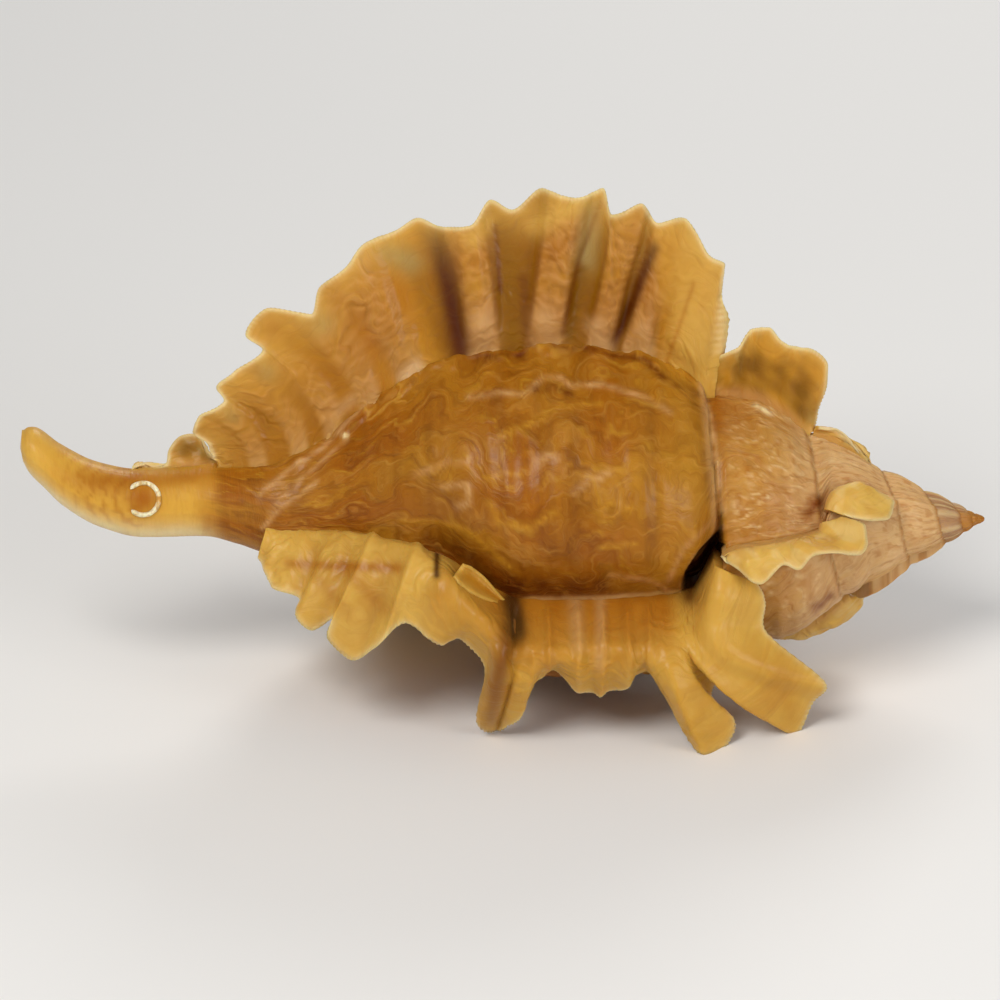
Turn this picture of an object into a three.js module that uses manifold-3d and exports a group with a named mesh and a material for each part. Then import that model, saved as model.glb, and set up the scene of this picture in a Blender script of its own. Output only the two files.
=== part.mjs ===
// Three-winged murex shell: a dextral body whorl with a short spire, a bent siphonal canal,
// an open aperture on its underside and three fluted, frilled wings to each turn.
// It lies on the spine tips of its second and third wings, with the lip wing standing up.
//
// Shell frame: x along the coiling axis (apex at +x), p and q across it. An angle is measured
// about the axis from p towards q, and the shell grows with a rising angle.
import * as THREE from "three";
import Module from "manifold-3d";

const wasm = await Module();
wasm.setup();
const { Manifold, Mesh } = wasm;

// ---- driving dimensions, mm and degrees ----
const APEX_X = 46.0; // apex, on the coiling axis
const CANAL_END_X = -44.7; // free end of the siphonal canal
const REST_TILT = 25; // how far the back of the shell leans up from level
const REST_LEVEL = -14.9; // plane the spine tips stand on, measured from the coiling axis
const TURN_SHRINK = 0.68; // size of the body whorl one turn back from the lip
const LIP_FLARE = 1.1; // rise of the whorl just behind a wing
const AFTER_WING_DIP = 0.36; // how far growth starts again inside the old lip
const BELLY_TUCK = 0.12; // flattening of the underside between the second and third wings
const WING_ROOT_THICK = 1.7;
const WING_RIM_THICK = 0.8;
const APERTURE = { x: 5.5, radius: 11.2, halfLength: 10, halfWidth: 4.4, slope: 0.16 };
const PERISTOME_THICK = 0.9;

// Distance of the suture from the apex, against turns back from the lip.
const SUTURE = [[0, 26.2], [0.3, 25.2], [0.62, 21.5], [1, 16.8], [1.3, 15.6], [1.62, 13.0],
  [2, 9.7], [2.3, 8.6], [3, 5.7], [4, 3.0], [5, 1.6], [6, 0.85], [7, 0.4], [8, 0.1]];
// Radius of the body whorl, against distance below its suture, at the lip.
const BODY_PROFILE = [[0, 12.3], [0.5, 13.4], [1.6, 14.7], [3.5, 15.9], [6, 16.8], [10, 17.5],
  [16, 17.7], [20, 17.6], [24, 16.9], [27, 15.7], [30, 13.9], [33, 11.5], [36, 8.9], [39, 6.6],
  [42, 4.9], [46, 3.6], [50, 2.6], [56, 1.5], [120, 0.5]];
// Slope of the spire's cone, against distance from the apex.
const SPIRE_CONE = [[0, 0.53], [9, 0.525], [17, 0.515], [26, 0.47]];
// Half width of the canal and the course of its centre line, against x.
const CANAL_RADIUS = [[-44.7, 1.0], [-44.2, 1.9], [-43.2, 2.5], [-41, 2.8], [-38, 2.95],
  [-34, 3.1], [-28, 3.1], [-22, 3.5], [-14, 3.4], [-6, 2.8], [4, 1.5], [46, 0]];
const CENTRE_Q = [[-44.7, 9.9], [-43.2, 9.0], [-41.2, 7.2], [-37.8, 5.2], [-34, 4.25],
  [-28, 4.1], [-25, 3.5], [-22, 2.6], [-15, 0.9], [-8, 0], [46, 0]];
const CENTRE_P = [[-44.7, 3.6], [-36, 1.6], [-26, 0.4], [-18, 0], [46, 0]];
// Angle of the three varix lines along the shell: the lip's, the second and the third.
const LIP_LINE = [[-45, 80], [-26, 78], [-14, 73], [20, 72], [30, 70], [34, 66], [46, 60]];
const SECOND_LINE = [[-45, -30], [-21.5, -28], [-18, -16], [-14, -6], [-10, -6], [-6, -14],
  [-2, -30], [2, -40], [18, -42], [21.5, -12], [30, -6], [31.5, 18], [34, 26], [46, 30]];
const THIRD_LINE = [[-45, -150], [22, -152], [25.5, -116], [33, -112], [35, -80], [46, -76]];
const FROND_LINE = [[-45, 100], [0, 100]];
// Each line with the part of a turn that it lies back from the lip.
const LIP = { line: LIP_LINE, part: 0 };
const SECOND = { line: SECOND_LINE, part: 0.317 };
const THIRD = { line: THIRD_LINE, part: 0.617 };
const FROND = { line: FROND_LINE, part: 0.617 };

// Wing outlines, from the spire end to the canal end: x of the root on the whorl, then the
// rim's x, p and q. The spines' blunt ends share the level the shell rests on.
const LIP_WING = [[20.7, 20.9, 5.4, 16.9], [20.3, 21.9, 8.0, 22.2], [19.7, 22.5, 8.6, 24.7],
  [18.8, 20.6, 9.0, 26.0], [17.3, 18.4, 9.8, 29.6], [15.6, 15.7, 9.4, 29.0],
  [13.6, 14.2, 10.4, 30.9], [11.9, 11.3, 9.6, 29.9], [10.8, 10.8, 10.8, 32.1],
  [8.0, 8.3, 10.4, 31.7], [4.6, 5.2, 10.2, 32.4], [2.4, 2.3, 9.4, 30.5],
  [0.9, 0.2, 9.7, 31.5], [-0.9, -1.9, 9.1, 29.4], [-3.3, -4.7, 9.0, 29.3],
  [-4.6, -6.6, 9.2, 30.0], [-6.2, -8.9, 8.8, 28.9], [-8.6, -12.0, 8.8, 27.7],
  [-10.0, -13.6, 8.2, 25.9], [-11.6, -16.2, 7.6, 23.9], [-12.6, -17.0, 6.7, 21.6],
  [-13.9, -20.8, 7.0, 22.3], [-15.6, -23.3, 6.4, 19.7], [-16.6, -21.8, 5.9, 18.3],
  [-18.2, -24.5, 5.5, 16.4], [-20.0, -26.2, 5.1, 14.9], [-21.6, -25.6, 4.8, 13.7],
  [-23.2, -27.9, 4.5, 12.4], [-24.6, -28.6, 3.8, 10.8], [-25.7, -27.3, 2.8, 9.6],
  [-26.5, -26.9, 1.9, 8.2]];
const SECOND_WING = [[21.2, 21.8, 9.6, -3.2], [20.6, 23.6, 10.6, -5.0], [20.0, 24.6, 11.0, -7.0],
  [19.4, 24.8, 10.4, -10.0], [18.8, 30.0, 9.0, -14.7], [18.3, 28.9, 7.2, -16.8],
  [17.8, 27.0, 6.1, -20.0], [17.3, 24.0, 7.6, -17.2], [16.9, 20.5, 9.2, -14.3],
  [16.5, 19.3, 9.2, -15.7], [16.1, 21.4, 8.4, -18.2], [15.6, 20.3, 8.6, -20.8],
  [15.0, 18.3, 9.8, -21.4], [14.3, 16.5, 8.8, -18.6], [13.5, 14.1, 10.0, -13.6],
  [12.1, 12.2, 10.2, -13.0], [10.8, 10.7, 9.6, -15.0], [8.8, 8.4, 9.2, -15.7],
  [6.8, 6.6, 9.6, -14.5], [5.3, 4.6, 10.0, -12.5], [4.1, 3.1, 9.8, -13.2],
  [3.1, 1.9, 8.6, -15.6], [2.3, 1.3, 7.4, -18.0], [1.2, -1.2, 5.6, -19.8],
  [0.2, -2.9, 6.4, -17.8], [-0.9, -1.9, 9.6, -12.2], [-2.4, -4.1, 11.2, -9.4],
  [-4.2, -5.8, 11.6, -9.7], [-6.4, -9.0, 12.2, -7.7], [-8.4, -12.0, 10.8, -10.0],
  [-10.0, -14.4, 9.4, -11.3], [-11.4, -16.4, 9.0, -9.2], [-12.8, -16.0, 9.4, -7.2],
  [-14.4, -18.2, 8.0, -8.2], [-16.0, -19.5, 7.4, -6.3], [-17.4, -19.4, 6.8, -5.0],
  [-19.2, -21.5, 5.4, -4.2], [-20.8, -22.2, 4.4, -2.6], [-22.2, -22.8, 3.4, -1.4]];
const THIRD_WING = [[24.2, 25.2, -10.6, -7.0], [22.4, 25.6, -15.8, -7.0], [20.2, 23.6, -19.2, -6.6],
  [17.9, 20.4, -23.2, -6.3], [16.2, 17.6, -23.2, -6.3], [14.6, 15.4, -17.6, -6.4],
  [12.2, 13.0, -19.0, -6.4], [10.2, 10.4, -20.2, -6.0], [8.0, 8.0, -18.0, -6.2],
  [6.0, 5.4, -17.0, -6.6], [4.0, 3.2, -18.8, -6.8], [2.0, 0.6, -20.8, -6.6],
  [0.4, -1.4, -20.0, -6.2], [-1.6, -3.6, -16.6, -6.2], [-3.6, -6.0, -18.4, -6.4],
  [-5.4, -8.4, -23.2, -6.3], [-7.0, -10.8, -22.9, -6.5], [-9.2, -12.6, -16.4, -5.8],
  [-11.6, -15.0, -15.8, -5.4], [-13.8, -17.4, -12.6, -4.4], [-16.2, -19.6, -10.8, -3.0],
  [-18.6, -21.6, -7.4, -1.4], [-20.6, -22.6, -4.6, 0.2]];
// A small frond stands behind the canal, where an earlier canal ended.
const CANAL_FROND = [[-26.2, -26.6, 0.6, 8.2], [-27.0, -27.6, 0.2, 9.4], [-27.6, -28.3, 0.0, 10.6],
  [-28.8, -30.0, 0.0, 10.5], [-29.6, -31.1, 0.1, 9.3], [-30.4, -31.4, 0.4, 8.0],
  [-31.6, -32.4, 0.8, 7.5], [-32.8, -33.5, 1.2, 8.0], [-34.2, -34.6, 1.8, 7.4]];
// The same three lines carry smaller wings on the earlier turns.
const SPIRE_WINGS = [
  { on: LIP, rows: [[20.6, 20.9, 5.2, 16.2], [22.0, 22.7, 6.4, 16.8],
    [23.4, 24.4, 6.8, 18.5], [24.6, 25.9, 7.0, 18.7], [25.7, 27.0, 6.6, 17.5],
    [26.8, 28.3, 6.4, 16.8], [27.8, 29.7, 6.3, 16.6], [28.6, 31.4, 5.6, 14.9],
    [29.0, 31.3, 5.0, 13.4], [29.4, 30.5, 3.6, 11.0], [29.6, 29.9, 2.9, 9.0]] },
  { on: SECOND, rows: [[21.0, 20.4, 12.2, -2.6], [22.2, 22.1, 13.2, -4.0],
    [23.7, 24.0, 13.8, -5.3], [25.2, 26.3, 13.2, -3.6], [26.4, 27.7, 12.8, -4.1],
    [27.6, 29.3, 12.2, -2.8], [28.6, 31.5, 11.8, -2.7], [29.3, 33.5, 10.8, -2.9],
    [29.8, 34.3, 10.2, -1.8], [30.2, 34.2, 9.4, -0.2], [30.5, 32.4, 8.6, 0.6]] },
  { on: THIRD, rows: [[25.8, 25.8, -5.0, -10.0], [27.2, 28.8, -6.4, -10.4],
    [29.2, 30.7, -6.8, -10.1], [31.0, 33.3, -6.4, -8.8], [32.3, 34.6, -5.4, -7.7],
    [33.0, 34.5, -3.6, -6.6]] },
  { on: LIP, rows: [[29.9, 30.6, 4.2, 9.3], [31.4, 33.1, 3.9, 8.0],
    [33.0, 34.6, 3.2, 6.3], [35.0, 35.6, 2.2, 4.5]] },
  { on: SECOND, rows: [[30.9, 32.2, 9.3, 0.7], [31.9, 34.9, 8.8, 0.2],
    [32.7, 36.6, 7.8, 0.4], [33.3, 37.1, 6.4, 1.9], [34.0, 35.3, 5.8, 2.1]] },
];
// Flutes: x of the root, half width, height towards the back, and how far the rim end leans to +x.
const LIP_FLUTES = [[17.3, 1.7, 1.2, 1.8], [13.2, 1.2, 1.0, 3.4], [9.9, 1.2, 1.2, 3.2],
  [4.7, 1.8, 1.4, 2.5], [-1.0, 1.6, 1.3, -0.4], [-7.9, 1.2, 1.0, -2.1], [-11.8, 1.0, 0.8, -1.2],
  [-15.3, 0.9, 0.7, -0.8], [-18.6, 0.9, 0.7, 0], [-22.6, 0.9, 0.6, 0]];
const SECOND_FLUTES = [[18.4, 0.9, 0.4, 0], [15.4, 0.8, 0.4, 0], [9.0, 1.6, 0.9, 0],
  [1.4, 1.0, 1.0, 0], [-5.0, 0.9, -0.7, 0], [-9.6, 1.0, 0.9, 0], [-13.6, 0.7, 0.7, 0],
  [-17.0, 0.7, 0.6, 0]];
const THIRD_FLUTES = [[17.4, 1.4, 1.0, 0], [10.4, 1.2, 0.8, 0], [2.6, 1.3, 1.0, 0],
  [-6.0, 1.2, 1.0, 0], [-12.0, 1.0, 0.7, 0]];

const RAD = Math.PI / 180;

// Smooth curve through a table's points that never overshoots them.
function curve(table, at) {
  const last = table.length - 1;
  if (at <= table[0][0]) return table[0][1];
  if (at >= table[last][0]) return table[last][1];
  let i = 0;
  while (at > table[i + 1][0]) i += 1;
  const slope = (k) => (table[k + 1][1] - table[k][1]) / (table[k + 1][0] - table[k][0]);
  const tangent = (k) => {
    if (k === 0) return slope(0);
    if (k === last) return slope(last - 1);
    const before = slope(k - 1);
    const after = slope(k);
    return before * after <= 0 ? 0 : (2 * before * after) / (before + after);
  };
  const width = table[i + 1][0] - table[i][0];
  const t = (at - table[i][0]) / width;
  const fromStart = (1 + 2 * t) * (1 - t) ** 2 * table[i][1] + t * t * (3 - 2 * t) * table[i + 1][1];
  const fromSlopes = t * (1 - t) ** 2 * tangent(i) - t * t * (1 - t) * tangent(i + 1);
  return fromStart + width * fromSlopes;
}

const smooth = (low, high, v) => {
  const t = Math.min(1, Math.max(0, (v - low) / (high - low)));
  return t * t * (3 - 2 * t);
};
const mix = (a, b, t) => a + (b - a) * t;
const flat = (v) => Math.exp(-(v ** 4));

// Radius of the coiled whorls at a distance from the apex, some part of a turn back.
function whorlRadius(distance, part) {
  let turn = 0;
  while (turn < 7 && distance < curve(SUTURE, turn + part)) turn += 1;
  const suture = curve(SUTURE, turn + part);
  if (turn === 0) {
    const size = TURN_SHRINK ** part;
    const belly = Math.sin(Math.PI * smooth(SECOND.part, THIRD.part, part));
    return size * (1 - BELLY_TUCK * belly) * curve(BODY_PROFILE, (distance - suture) / size);
  }
  const across = (distance - suture) / (curve(SUTURE, turn - 1 + part) - suture);
  const bulge = 1 + 0.13 * Math.sin(Math.PI * Math.min(1, Math.max(0, across)) ** 0.8);
  const cone = curve(SPIRE_CONE, distance) * distance * bulge;
  return Math.max(cone, 0.62 * Math.sqrt(Math.min(distance, 1.4) / 1.4));
}

// The three sectors between the varix lines, each with the part of a turn back at its ends.
const SECTORS = [
  { from: SECOND_LINE, to: LIP_LINE, wrap: 0, partFrom: SECOND.part, partTo: 0 },
  { from: LIP_LINE, to: THIRD_LINE, wrap: 360, partFrom: 1, partTo: THIRD.part },
  { from: THIRD_LINE, to: SECOND_LINE, wrap: 0, partFrom: THIRD.part, partTo: SECOND.part },
];

const flareHeight = (whorl) => LIP_FLARE * Math.min(1, whorl / 14);

// Outer radius about the canal's centre line: v runs from 0 to 1 across a sector.
function outerRadius(x, sector, v) {
  const distance = APEX_X - x;
  const from = curve(sector.from, x);
  const to = curve(sector.to, x) + sector.wrap;
  const angle = mix(from + 0.5, to - 0.5, v);
  const part = mix(sector.partFrom, sector.partTo, v);
  const whorl = whorlRadius(distance, part);
  const since = angle - from;
  const until = ((to - angle) * RAD) * whorl;
  const onBody = smooth(-9, -4, x);
  let radius = whorl;
  if (sector.from === LIP_LINE) {
    const lip = whorlRadius(distance, 0);
    const ramp = mix(55, 4, smooth(-14, -5, x));
    const hold = distance > curve(SUTURE, 0) ? 1 - smooth(0, ramp, since) : 0;
    const callus = 1 - 0.1 * Math.exp(-((since / 40) ** 2));
    radius = mix(whorl * callus, lip, x < -5 ? hold : hold * (1 - smooth(-5, -3, x)));
  } else {
    const dip = x > 21 ? 0.2 : mix(0.16, AFTER_WING_DIP, onBody);
    radius *= 1 - dip * Math.exp(-((since / 32) ** 2));
  }
  radius += flareHeight(whorl) * Math.exp(-until / 2.2);
  const canal = curve(CANAL_RADIUS, x);
  const blend = 1.2;
  const high = Math.max(radius, canal);
  const low = Math.min(radius, canal);
  return high + blend * 0.35 * Math.exp(-((high - low) / blend)) * (x < -3 ? 1 : 0);
}

const onShell = (x, angle, radius) => [
  x,
  curve(CENTRE_P, x) + radius * Math.cos(angle * RAD),
  curve(CENTRE_Q, x) + radius * Math.sin(angle * RAD),
];

// Closed solid from its vertices and triangles, turned outward if it came out inside out.
function solid(points, triangles) {
  const build = (tris) =>
    new Manifold(new Mesh({
      numProp: 3,
      vertProperties: new Float32Array(points.flat()),
      triVerts: new Uint32Array(tris.flat()),
    }));
  const made = build(triangles);
  return made.volume() > 0 ? made : build(triangles.map(([a, b, c]) => [a, c, b]));
}

// Stations along the axis: close together at the apex, wider on the body and canal.
function stations() {
  const list = [0.28];
  const end = APEX_X - CANAL_END_X;
  while (list.at(-1) < end - 0.5) {
    const here = list.at(-1);
    list.push(here + Math.min(0.42 + 0.065 * here, 2.7, Math.max(0.5, (end - here) * 0.45)));
  }
  list[list.length - 1] = end;
  return list.map((d) => APEX_X - d);
}

// Body, spire and canal as one skin of rings closed at the apex and the canal's end.
function body(columns) {
  const points = [];
  const triangles = [];
  const rows = stations();
  const across = [];
  SECTORS.forEach((sector, k) => {
    for (let j = 0; j < columns[k]; j += 1) {
      const even = j / (columns[k] - 1);
      across.push([sector, even - 0.1 * Math.sin(2 * Math.PI * even)]);
    }
  });
  rows.forEach((x) => {
    across.forEach(([sector, v]) => {
      const from = curve(sector.from, x) + 0.5;
      const to = curve(sector.to, x) + sector.wrap - 0.5;
      points.push(onShell(x, mix(from, to, v), outerRadius(x, sector, v)));
    });
  });
  const ring = across.length;
  for (let i = 0; i + 1 < rows.length; i += 1) {
    for (let j = 0; j < ring; j += 1) {
      const a = i * ring + j;
      const b = i * ring + ((j + 1) % ring);
      triangles.push([a, b, b + ring], [a, b + ring, a + ring]);
    }
  }
  const apex = points.push([APEX_X, 0, 0]) - 1;
  const end = points.push(onShell(CANAL_END_X - 0.3, 0, 0)) - 1;
  const lastRow = (rows.length - 1) * ring;
  for (let j = 0; j < ring; j += 1) {
    const next = (j + 1) % ring;
    triangles.push([apex, next, j], [end, lastRow + j, lastRow + next]);
  }
  return solid(points, triangles);
}

// A wing: a thin fluted sheet. It rises from inside the next growth, clears the old lip's edge
// and then leans over to its rim.
function wing(rows, on, flutes, perRow, depth, dip = AFTER_WING_DIP) {
  const count = Math.round((rows.length - 1) * perRow);
  const edge = 0.34;
  const grid = [];
  for (let i = 0; i <= count; i += 1) {
    const at = (i / count) * (rows.length - 1);
    const low = Math.min(Math.floor(at), rows.length - 2);
    const row = rows[low].map((value, k) => mix(value, rows[low + 1][k], at - low));
    const [rootX, ...rim] = row;
    const angle = curve(on.line, rootX);
    const whorl = whorlRadius(APEX_X - rootX, on.part);
    const outer = Math.max(whorl + flareHeight(whorl), curve(CANAL_RADIUS, rootX) + 0.3);
    const inner = onShell(rootX, angle, outer * (1 - dip) - 0.8);
    const corner = onShell(rootX, angle, outer);
    const out = [0, Math.cos(angle * RAD), Math.sin(angle * RAD)];
    const reach = Math.hypot(...rim.map((value, k) => value - corner[k]));
    const bend = corner.map((value, k) => value + 0.42 * reach * out[k]);
    const strip = [];
    for (let j = 0; j <= depth; j += 1) {
      const t = j / depth;
      const u = Math.max(0, (t - edge) / (1 - edge));
      strip.push([0, 1, 2].map((k) => (t < edge
        ? mix(inner[k], corner[k], t / edge)
        : (1 - u) ** 2 * corner[k] + 2 * u * (1 - u) * bend[k] + u * u * rim[k])));
    }
    const lift = (t) => flutes.reduce((sum, [x, half, height, lean]) => {
      const centre = x + lean * Math.max(0, (t - edge) / (1 - edge));
      return sum + height * flat((rootX - centre) / half);
    }, 0);
    grid.push({ strip, lift });
  }
  const at = (i, j) => grid[Math.min(count, Math.max(0, i))].strip[Math.min(depth, Math.max(0, j))];
  const points = [];
  for (const side of [1, -1]) {
    for (let i = 0; i <= count; i += 1) {
      for (let j = 0; j <= depth; j += 1) {
        const along = new THREE.Vector3(...at(i + 1, j)).sub(new THREE.Vector3(...at(i - 1, j)));
        const out = new THREE.Vector3(...at(i, j + 1)).sub(new THREE.Vector3(...at(i, j - 1)));
        const normal = along.cross(out).normalize();
        const t = j / depth;
        const half = mix(WING_ROOT_THICK, WING_RIM_THICK, t) / 2;
        const shift = side * half + grid[i].lift(t) * smooth(edge, edge + 0.16, t);
        points.push(new THREE.Vector3(...at(i, j)).addScaledVector(normal, shift).toArray());
      }
    }
  }
  const triangles = [];
  const stride = depth + 1;
  const other = (count + 1) * stride;
  for (let i = 0; i < count; i += 1) {
    for (let j = 0; j < depth; j += 1) {
      const a = i * stride + j;
      triangles.push([a, a + stride, a + stride + 1], [a, a + stride + 1, a + 1]);
      const b = a + other;
      triangles.push([b, b + stride + 1, b + stride], [b, b + 1, b + stride + 1]);
    }
  }
  const border = [];
  for (let i = 0; i < count; i += 1) border.push([i * stride, (i + 1) * stride]);
  for (let j = 0; j < depth; j += 1) border.push([count * stride + j, count * stride + j + 1]);
  for (let i = count; i > 0; i -= 1) border.push([i * stride + depth, (i - 1) * stride + depth]);
  for (let j = depth; j > 0; j -= 1) border.push([j, j - 1]);
  border.forEach(([a, b]) => {
    triangles.push([b, a, a + other], [b, a + other, b + other]);
  });
  return solid(points, triangles);
}

// Oval tube about the aperture's outline at several angles; larger by a margin for its rim.
function apertureTube(angles, scales, margin, sides) {
  const points = [];
  const triangles = [];
  angles.forEach((offset, i) => {
    const part = Math.max(0, -offset) / 360;
    const size = TURN_SHRINK ** part;
    const drift = curve(SUTURE, 0) - curve(SUTURE, part);
    for (let j = 0; j < sides; j += 1) {
      const turn = (j / sides) * 2 * Math.PI;
      const along = (APERTURE.halfLength + margin) * scales[i] * Math.cos(turn) * size;
      const out = (APERTURE.halfWidth + margin) * scales[i] * Math.sin(turn) * size;
      const radius = APERTURE.radius * size + APERTURE.slope * along + out;
      const x = APERTURE.x + drift + along;
      points.push(onShell(x, curve(LIP_LINE, APERTURE.x) + offset, radius));
    }
  });
  for (let i = 0; i + 1 < angles.length; i += 1) {
    for (let j = 0; j < sides; j += 1) {
      const a = i * sides + j;
      const b = i * sides + ((j + 1) % sides);
      triangles.push([a, b, b + sides], [a, b + sides, a + sides]);
    }
  }
  const last = (angles.length - 1) * sides;
  for (let j = 1; j + 1 < sides; j += 1) {
    triangles.push([0, j + 1, j], [last, last + j, last + j + 1]);
  }
  return solid(points, triangles);
}

// ---- the shell ----
const wings = [
  wing(LIP_WING, LIP, LIP_FLUTES, 1.5, 5, 0.05),
  wing(SECOND_WING, SECOND, SECOND_FLUTES, 1, 5),
  wing(THIRD_WING, THIRD, THIRD_FLUTES, 1.3, 4),
  wing(CANAL_FROND, FROND, [], 1, 3, 0.2),
  ...SPIRE_WINGS.map((w) => wing(w.rows, w.on, [], 1, 3, 0.25)),
];
const rim = apertureTube([-3, 1.8], [1, 1], PERISTOME_THICK, 24);
const hollow = apertureTube([16, 1.8, -14, -30, -46, -62, -76, -84], [1, 1, 1, 1, 0.95, 0.82, 0.6, 0.35], 0, 24);
let shell = Manifold.union([body([17, 13, 11]), ...wings, rim]).subtract(hollow);

// Into the resting frame: +x stays the axis, y across, z up, and the spine tips worn flat.
const lean = REST_TILT * RAD;
shell = shell.transform([
  1, 0, 0, 0,
  0, -Math.cos(lean), Math.sin(lean), 0,
  0, Math.sin(lean), Math.cos(lean), 0,
  0, 0, -REST_LEVEL, 1,
]);
const floorCut = Manifold.cube([200, 200, 40], true).translate([0, 0, -20]);
shell = shell.subtract(floorCut);
const pieces = shell.decompose().sort((a, b) => b.volume() - a.volume());
shell = pieces[0];
const box = shell.boundingBox();
shell = shell.translate([
  -(box.min[0] + box.max[0]) / 2,
  -(box.min[1] + box.max[1]) / 2,
  -box.min[2],
]);

function geometryOf(made) {
  const mesh = made.getMesh();
  const geometry = new THREE.BufferGeometry();
  const positions = [];
  for (const index of mesh.triVerts) {
    for (let k = 0; k < 3; k += 1) positions.push(mesh.vertProperties[index * mesh.numProp + k]);
  }
  geometry.setAttribute("position", new THREE.Float32BufferAttribute(positions, 3));
  geometry.computeVertexNormals();
  return geometry;
}

const SHELL_MATERIAL = new THREE.MeshStandardMaterial({
  color: 0xb87c33,
  roughness: 0.35,
  metalness: 0.0,
});
const object = new THREE.Group();
const murex = new THREE.Mesh(geometryOf(shell), SHELL_MATERIAL);
murex.name = "murex_shell";
object.add(murex);
export default object;
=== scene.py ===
"""Three-winged murex shell lying on its side wings, lip wing standing, on a pale floor."""
import math

import bpy
import numpy as np
from mathutils import Matrix, Vector


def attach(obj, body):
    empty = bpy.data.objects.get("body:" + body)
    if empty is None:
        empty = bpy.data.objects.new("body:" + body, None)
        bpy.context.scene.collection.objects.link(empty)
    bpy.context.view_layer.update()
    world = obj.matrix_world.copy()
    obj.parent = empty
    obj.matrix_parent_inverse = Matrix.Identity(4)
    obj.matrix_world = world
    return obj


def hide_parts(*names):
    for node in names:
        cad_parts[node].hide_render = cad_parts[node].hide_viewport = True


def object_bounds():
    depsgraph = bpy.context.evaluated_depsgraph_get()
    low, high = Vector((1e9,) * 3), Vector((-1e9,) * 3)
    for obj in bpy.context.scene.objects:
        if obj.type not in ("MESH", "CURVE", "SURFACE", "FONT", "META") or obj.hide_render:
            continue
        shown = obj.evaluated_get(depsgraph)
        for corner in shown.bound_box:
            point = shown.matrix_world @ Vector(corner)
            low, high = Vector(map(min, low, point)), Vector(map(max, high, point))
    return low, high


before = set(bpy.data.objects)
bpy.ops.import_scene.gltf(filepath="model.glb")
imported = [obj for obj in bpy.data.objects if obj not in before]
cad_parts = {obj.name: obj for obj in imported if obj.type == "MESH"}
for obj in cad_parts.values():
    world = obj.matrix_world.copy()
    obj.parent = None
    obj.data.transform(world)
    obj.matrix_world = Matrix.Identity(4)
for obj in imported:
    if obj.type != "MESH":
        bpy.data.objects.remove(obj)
cad_low, cad_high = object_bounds()
BOX_LOW = np.array(cad_low)
BOX_HIGH = np.array(cad_high)

# ---- driving dimensions, mm and degrees, in the shell's own frame ----
# x runs along the coiling axis (apex at +x); p and q lie across it.
APEX_X = 46.0
CANAL_END_X = -44.7
REST_TILT = math.radians(25)
REST_LEVEL = -14.9
TURN_SHRINK = 0.68
LIP_FLARE = 1.1
AFTER_WING_DIP = 0.36
BELLY_TUCK = 0.12
WING_ROOT_THICK = 1.5
WING_RIM_THICK = 0.36
WING_EDGE = 0.34
BAND_SPACING = 1.35
APERTURE_X = 5.5
APERTURE_RADIUS = 11.2
APERTURE_HALF_LENGTH = 10.0
APERTURE_HALF_WIDTH = 4.4
APERTURE_SLOPE = 0.16
PERISTOME_THICK = 0.85
RING_X = -33.5
RING_Q = 4.65
RING_RADIUS = 1.5
CANAL_TOP_Q = 6.4
SCALE_P = 9.0
SMALL_WING_THICK = (1.0, 0.35)
SHIFT_X = -0.5
SHIFT_Y = -0.143
CRESCENT_DEPTH = 2.4
RELIEF_PER_TURN = 88
RIBS_PER_TURN = 8.5

SUTURE = [(0, 26.2), (0.3, 25.2), (0.62, 21.5), (1, 16.8), (1.3, 15.6), (1.62, 13.0), (2, 9.7),
          (2.3, 8.6), (3, 5.7), (4, 3.0), (5, 1.6), (6, 0.85), (7, 0.4), (8, 0.1)]
BODY_PROFILE = [(0, 12.3), (0.5, 13.4), (1.6, 14.7), (3.5, 15.9), (6, 16.8), (10, 17.5),
                (16, 17.7), (20, 17.6), (24, 16.9), (27, 15.7), (30, 13.9), (33, 11.5),
                (36, 8.9), (39, 6.6), (42, 4.9), (46, 3.6), (50, 2.6), (56, 1.5), (120, 0.5)]
SPIRE_CONE = [(0, 0.53), (9, 0.525), (17, 0.515), (26, 0.47)]
CANAL_RADIUS = [(-44.7, 1.0), (-44.2, 1.9), (-43.2, 2.5), (-41, 2.8), (-38, 2.95), (-34, 3.1),
                (-28, 3.1), (-22, 3.5), (-14, 3.4), (-6, 2.8), (4, 1.5), (46, 0)]
CENTRE_Q = [(-44.7, 9.9), (-43.2, 9.0), (-41.2, 7.2), (-37.8, 5.2), (-34, 4.25), (-28, 4.1),
            (-25, 3.5), (-22, 2.6), (-15, 0.9), (-8, 0), (46, 0)]
CENTRE_P = [(-44.7, 3.6), (-36, 1.6), (-26, 0.4), (-18, 0), (46, 0)]
LIP_LINE = [(-45, 80), (-26, 78), (-14, 73), (20, 72), (30, 70), (34, 66), (46, 60)]
SECOND_LINE = [(-45, -30), (-21.5, -28), (-18, -16), (-14, -6), (-10, -6), (-6, -14), (-2, -30),
               (2, -40), (18, -42), (21.5, -12), (30, -6), (31.5, 18), (34, 26), (46, 30)]
THIRD_LINE = [(-45, -150), (22, -152), (25.5, -116), (33, -112), (35, -80), (46, -76)]
FROND_LINE = [(-45, 100), (0, 100)]
LIP = (LIP_LINE, 0.0)
SECOND = (SECOND_LINE, 0.317)
THIRD = (THIRD_LINE, 0.617)
FROND = (FROND_LINE, 0.617)

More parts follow.
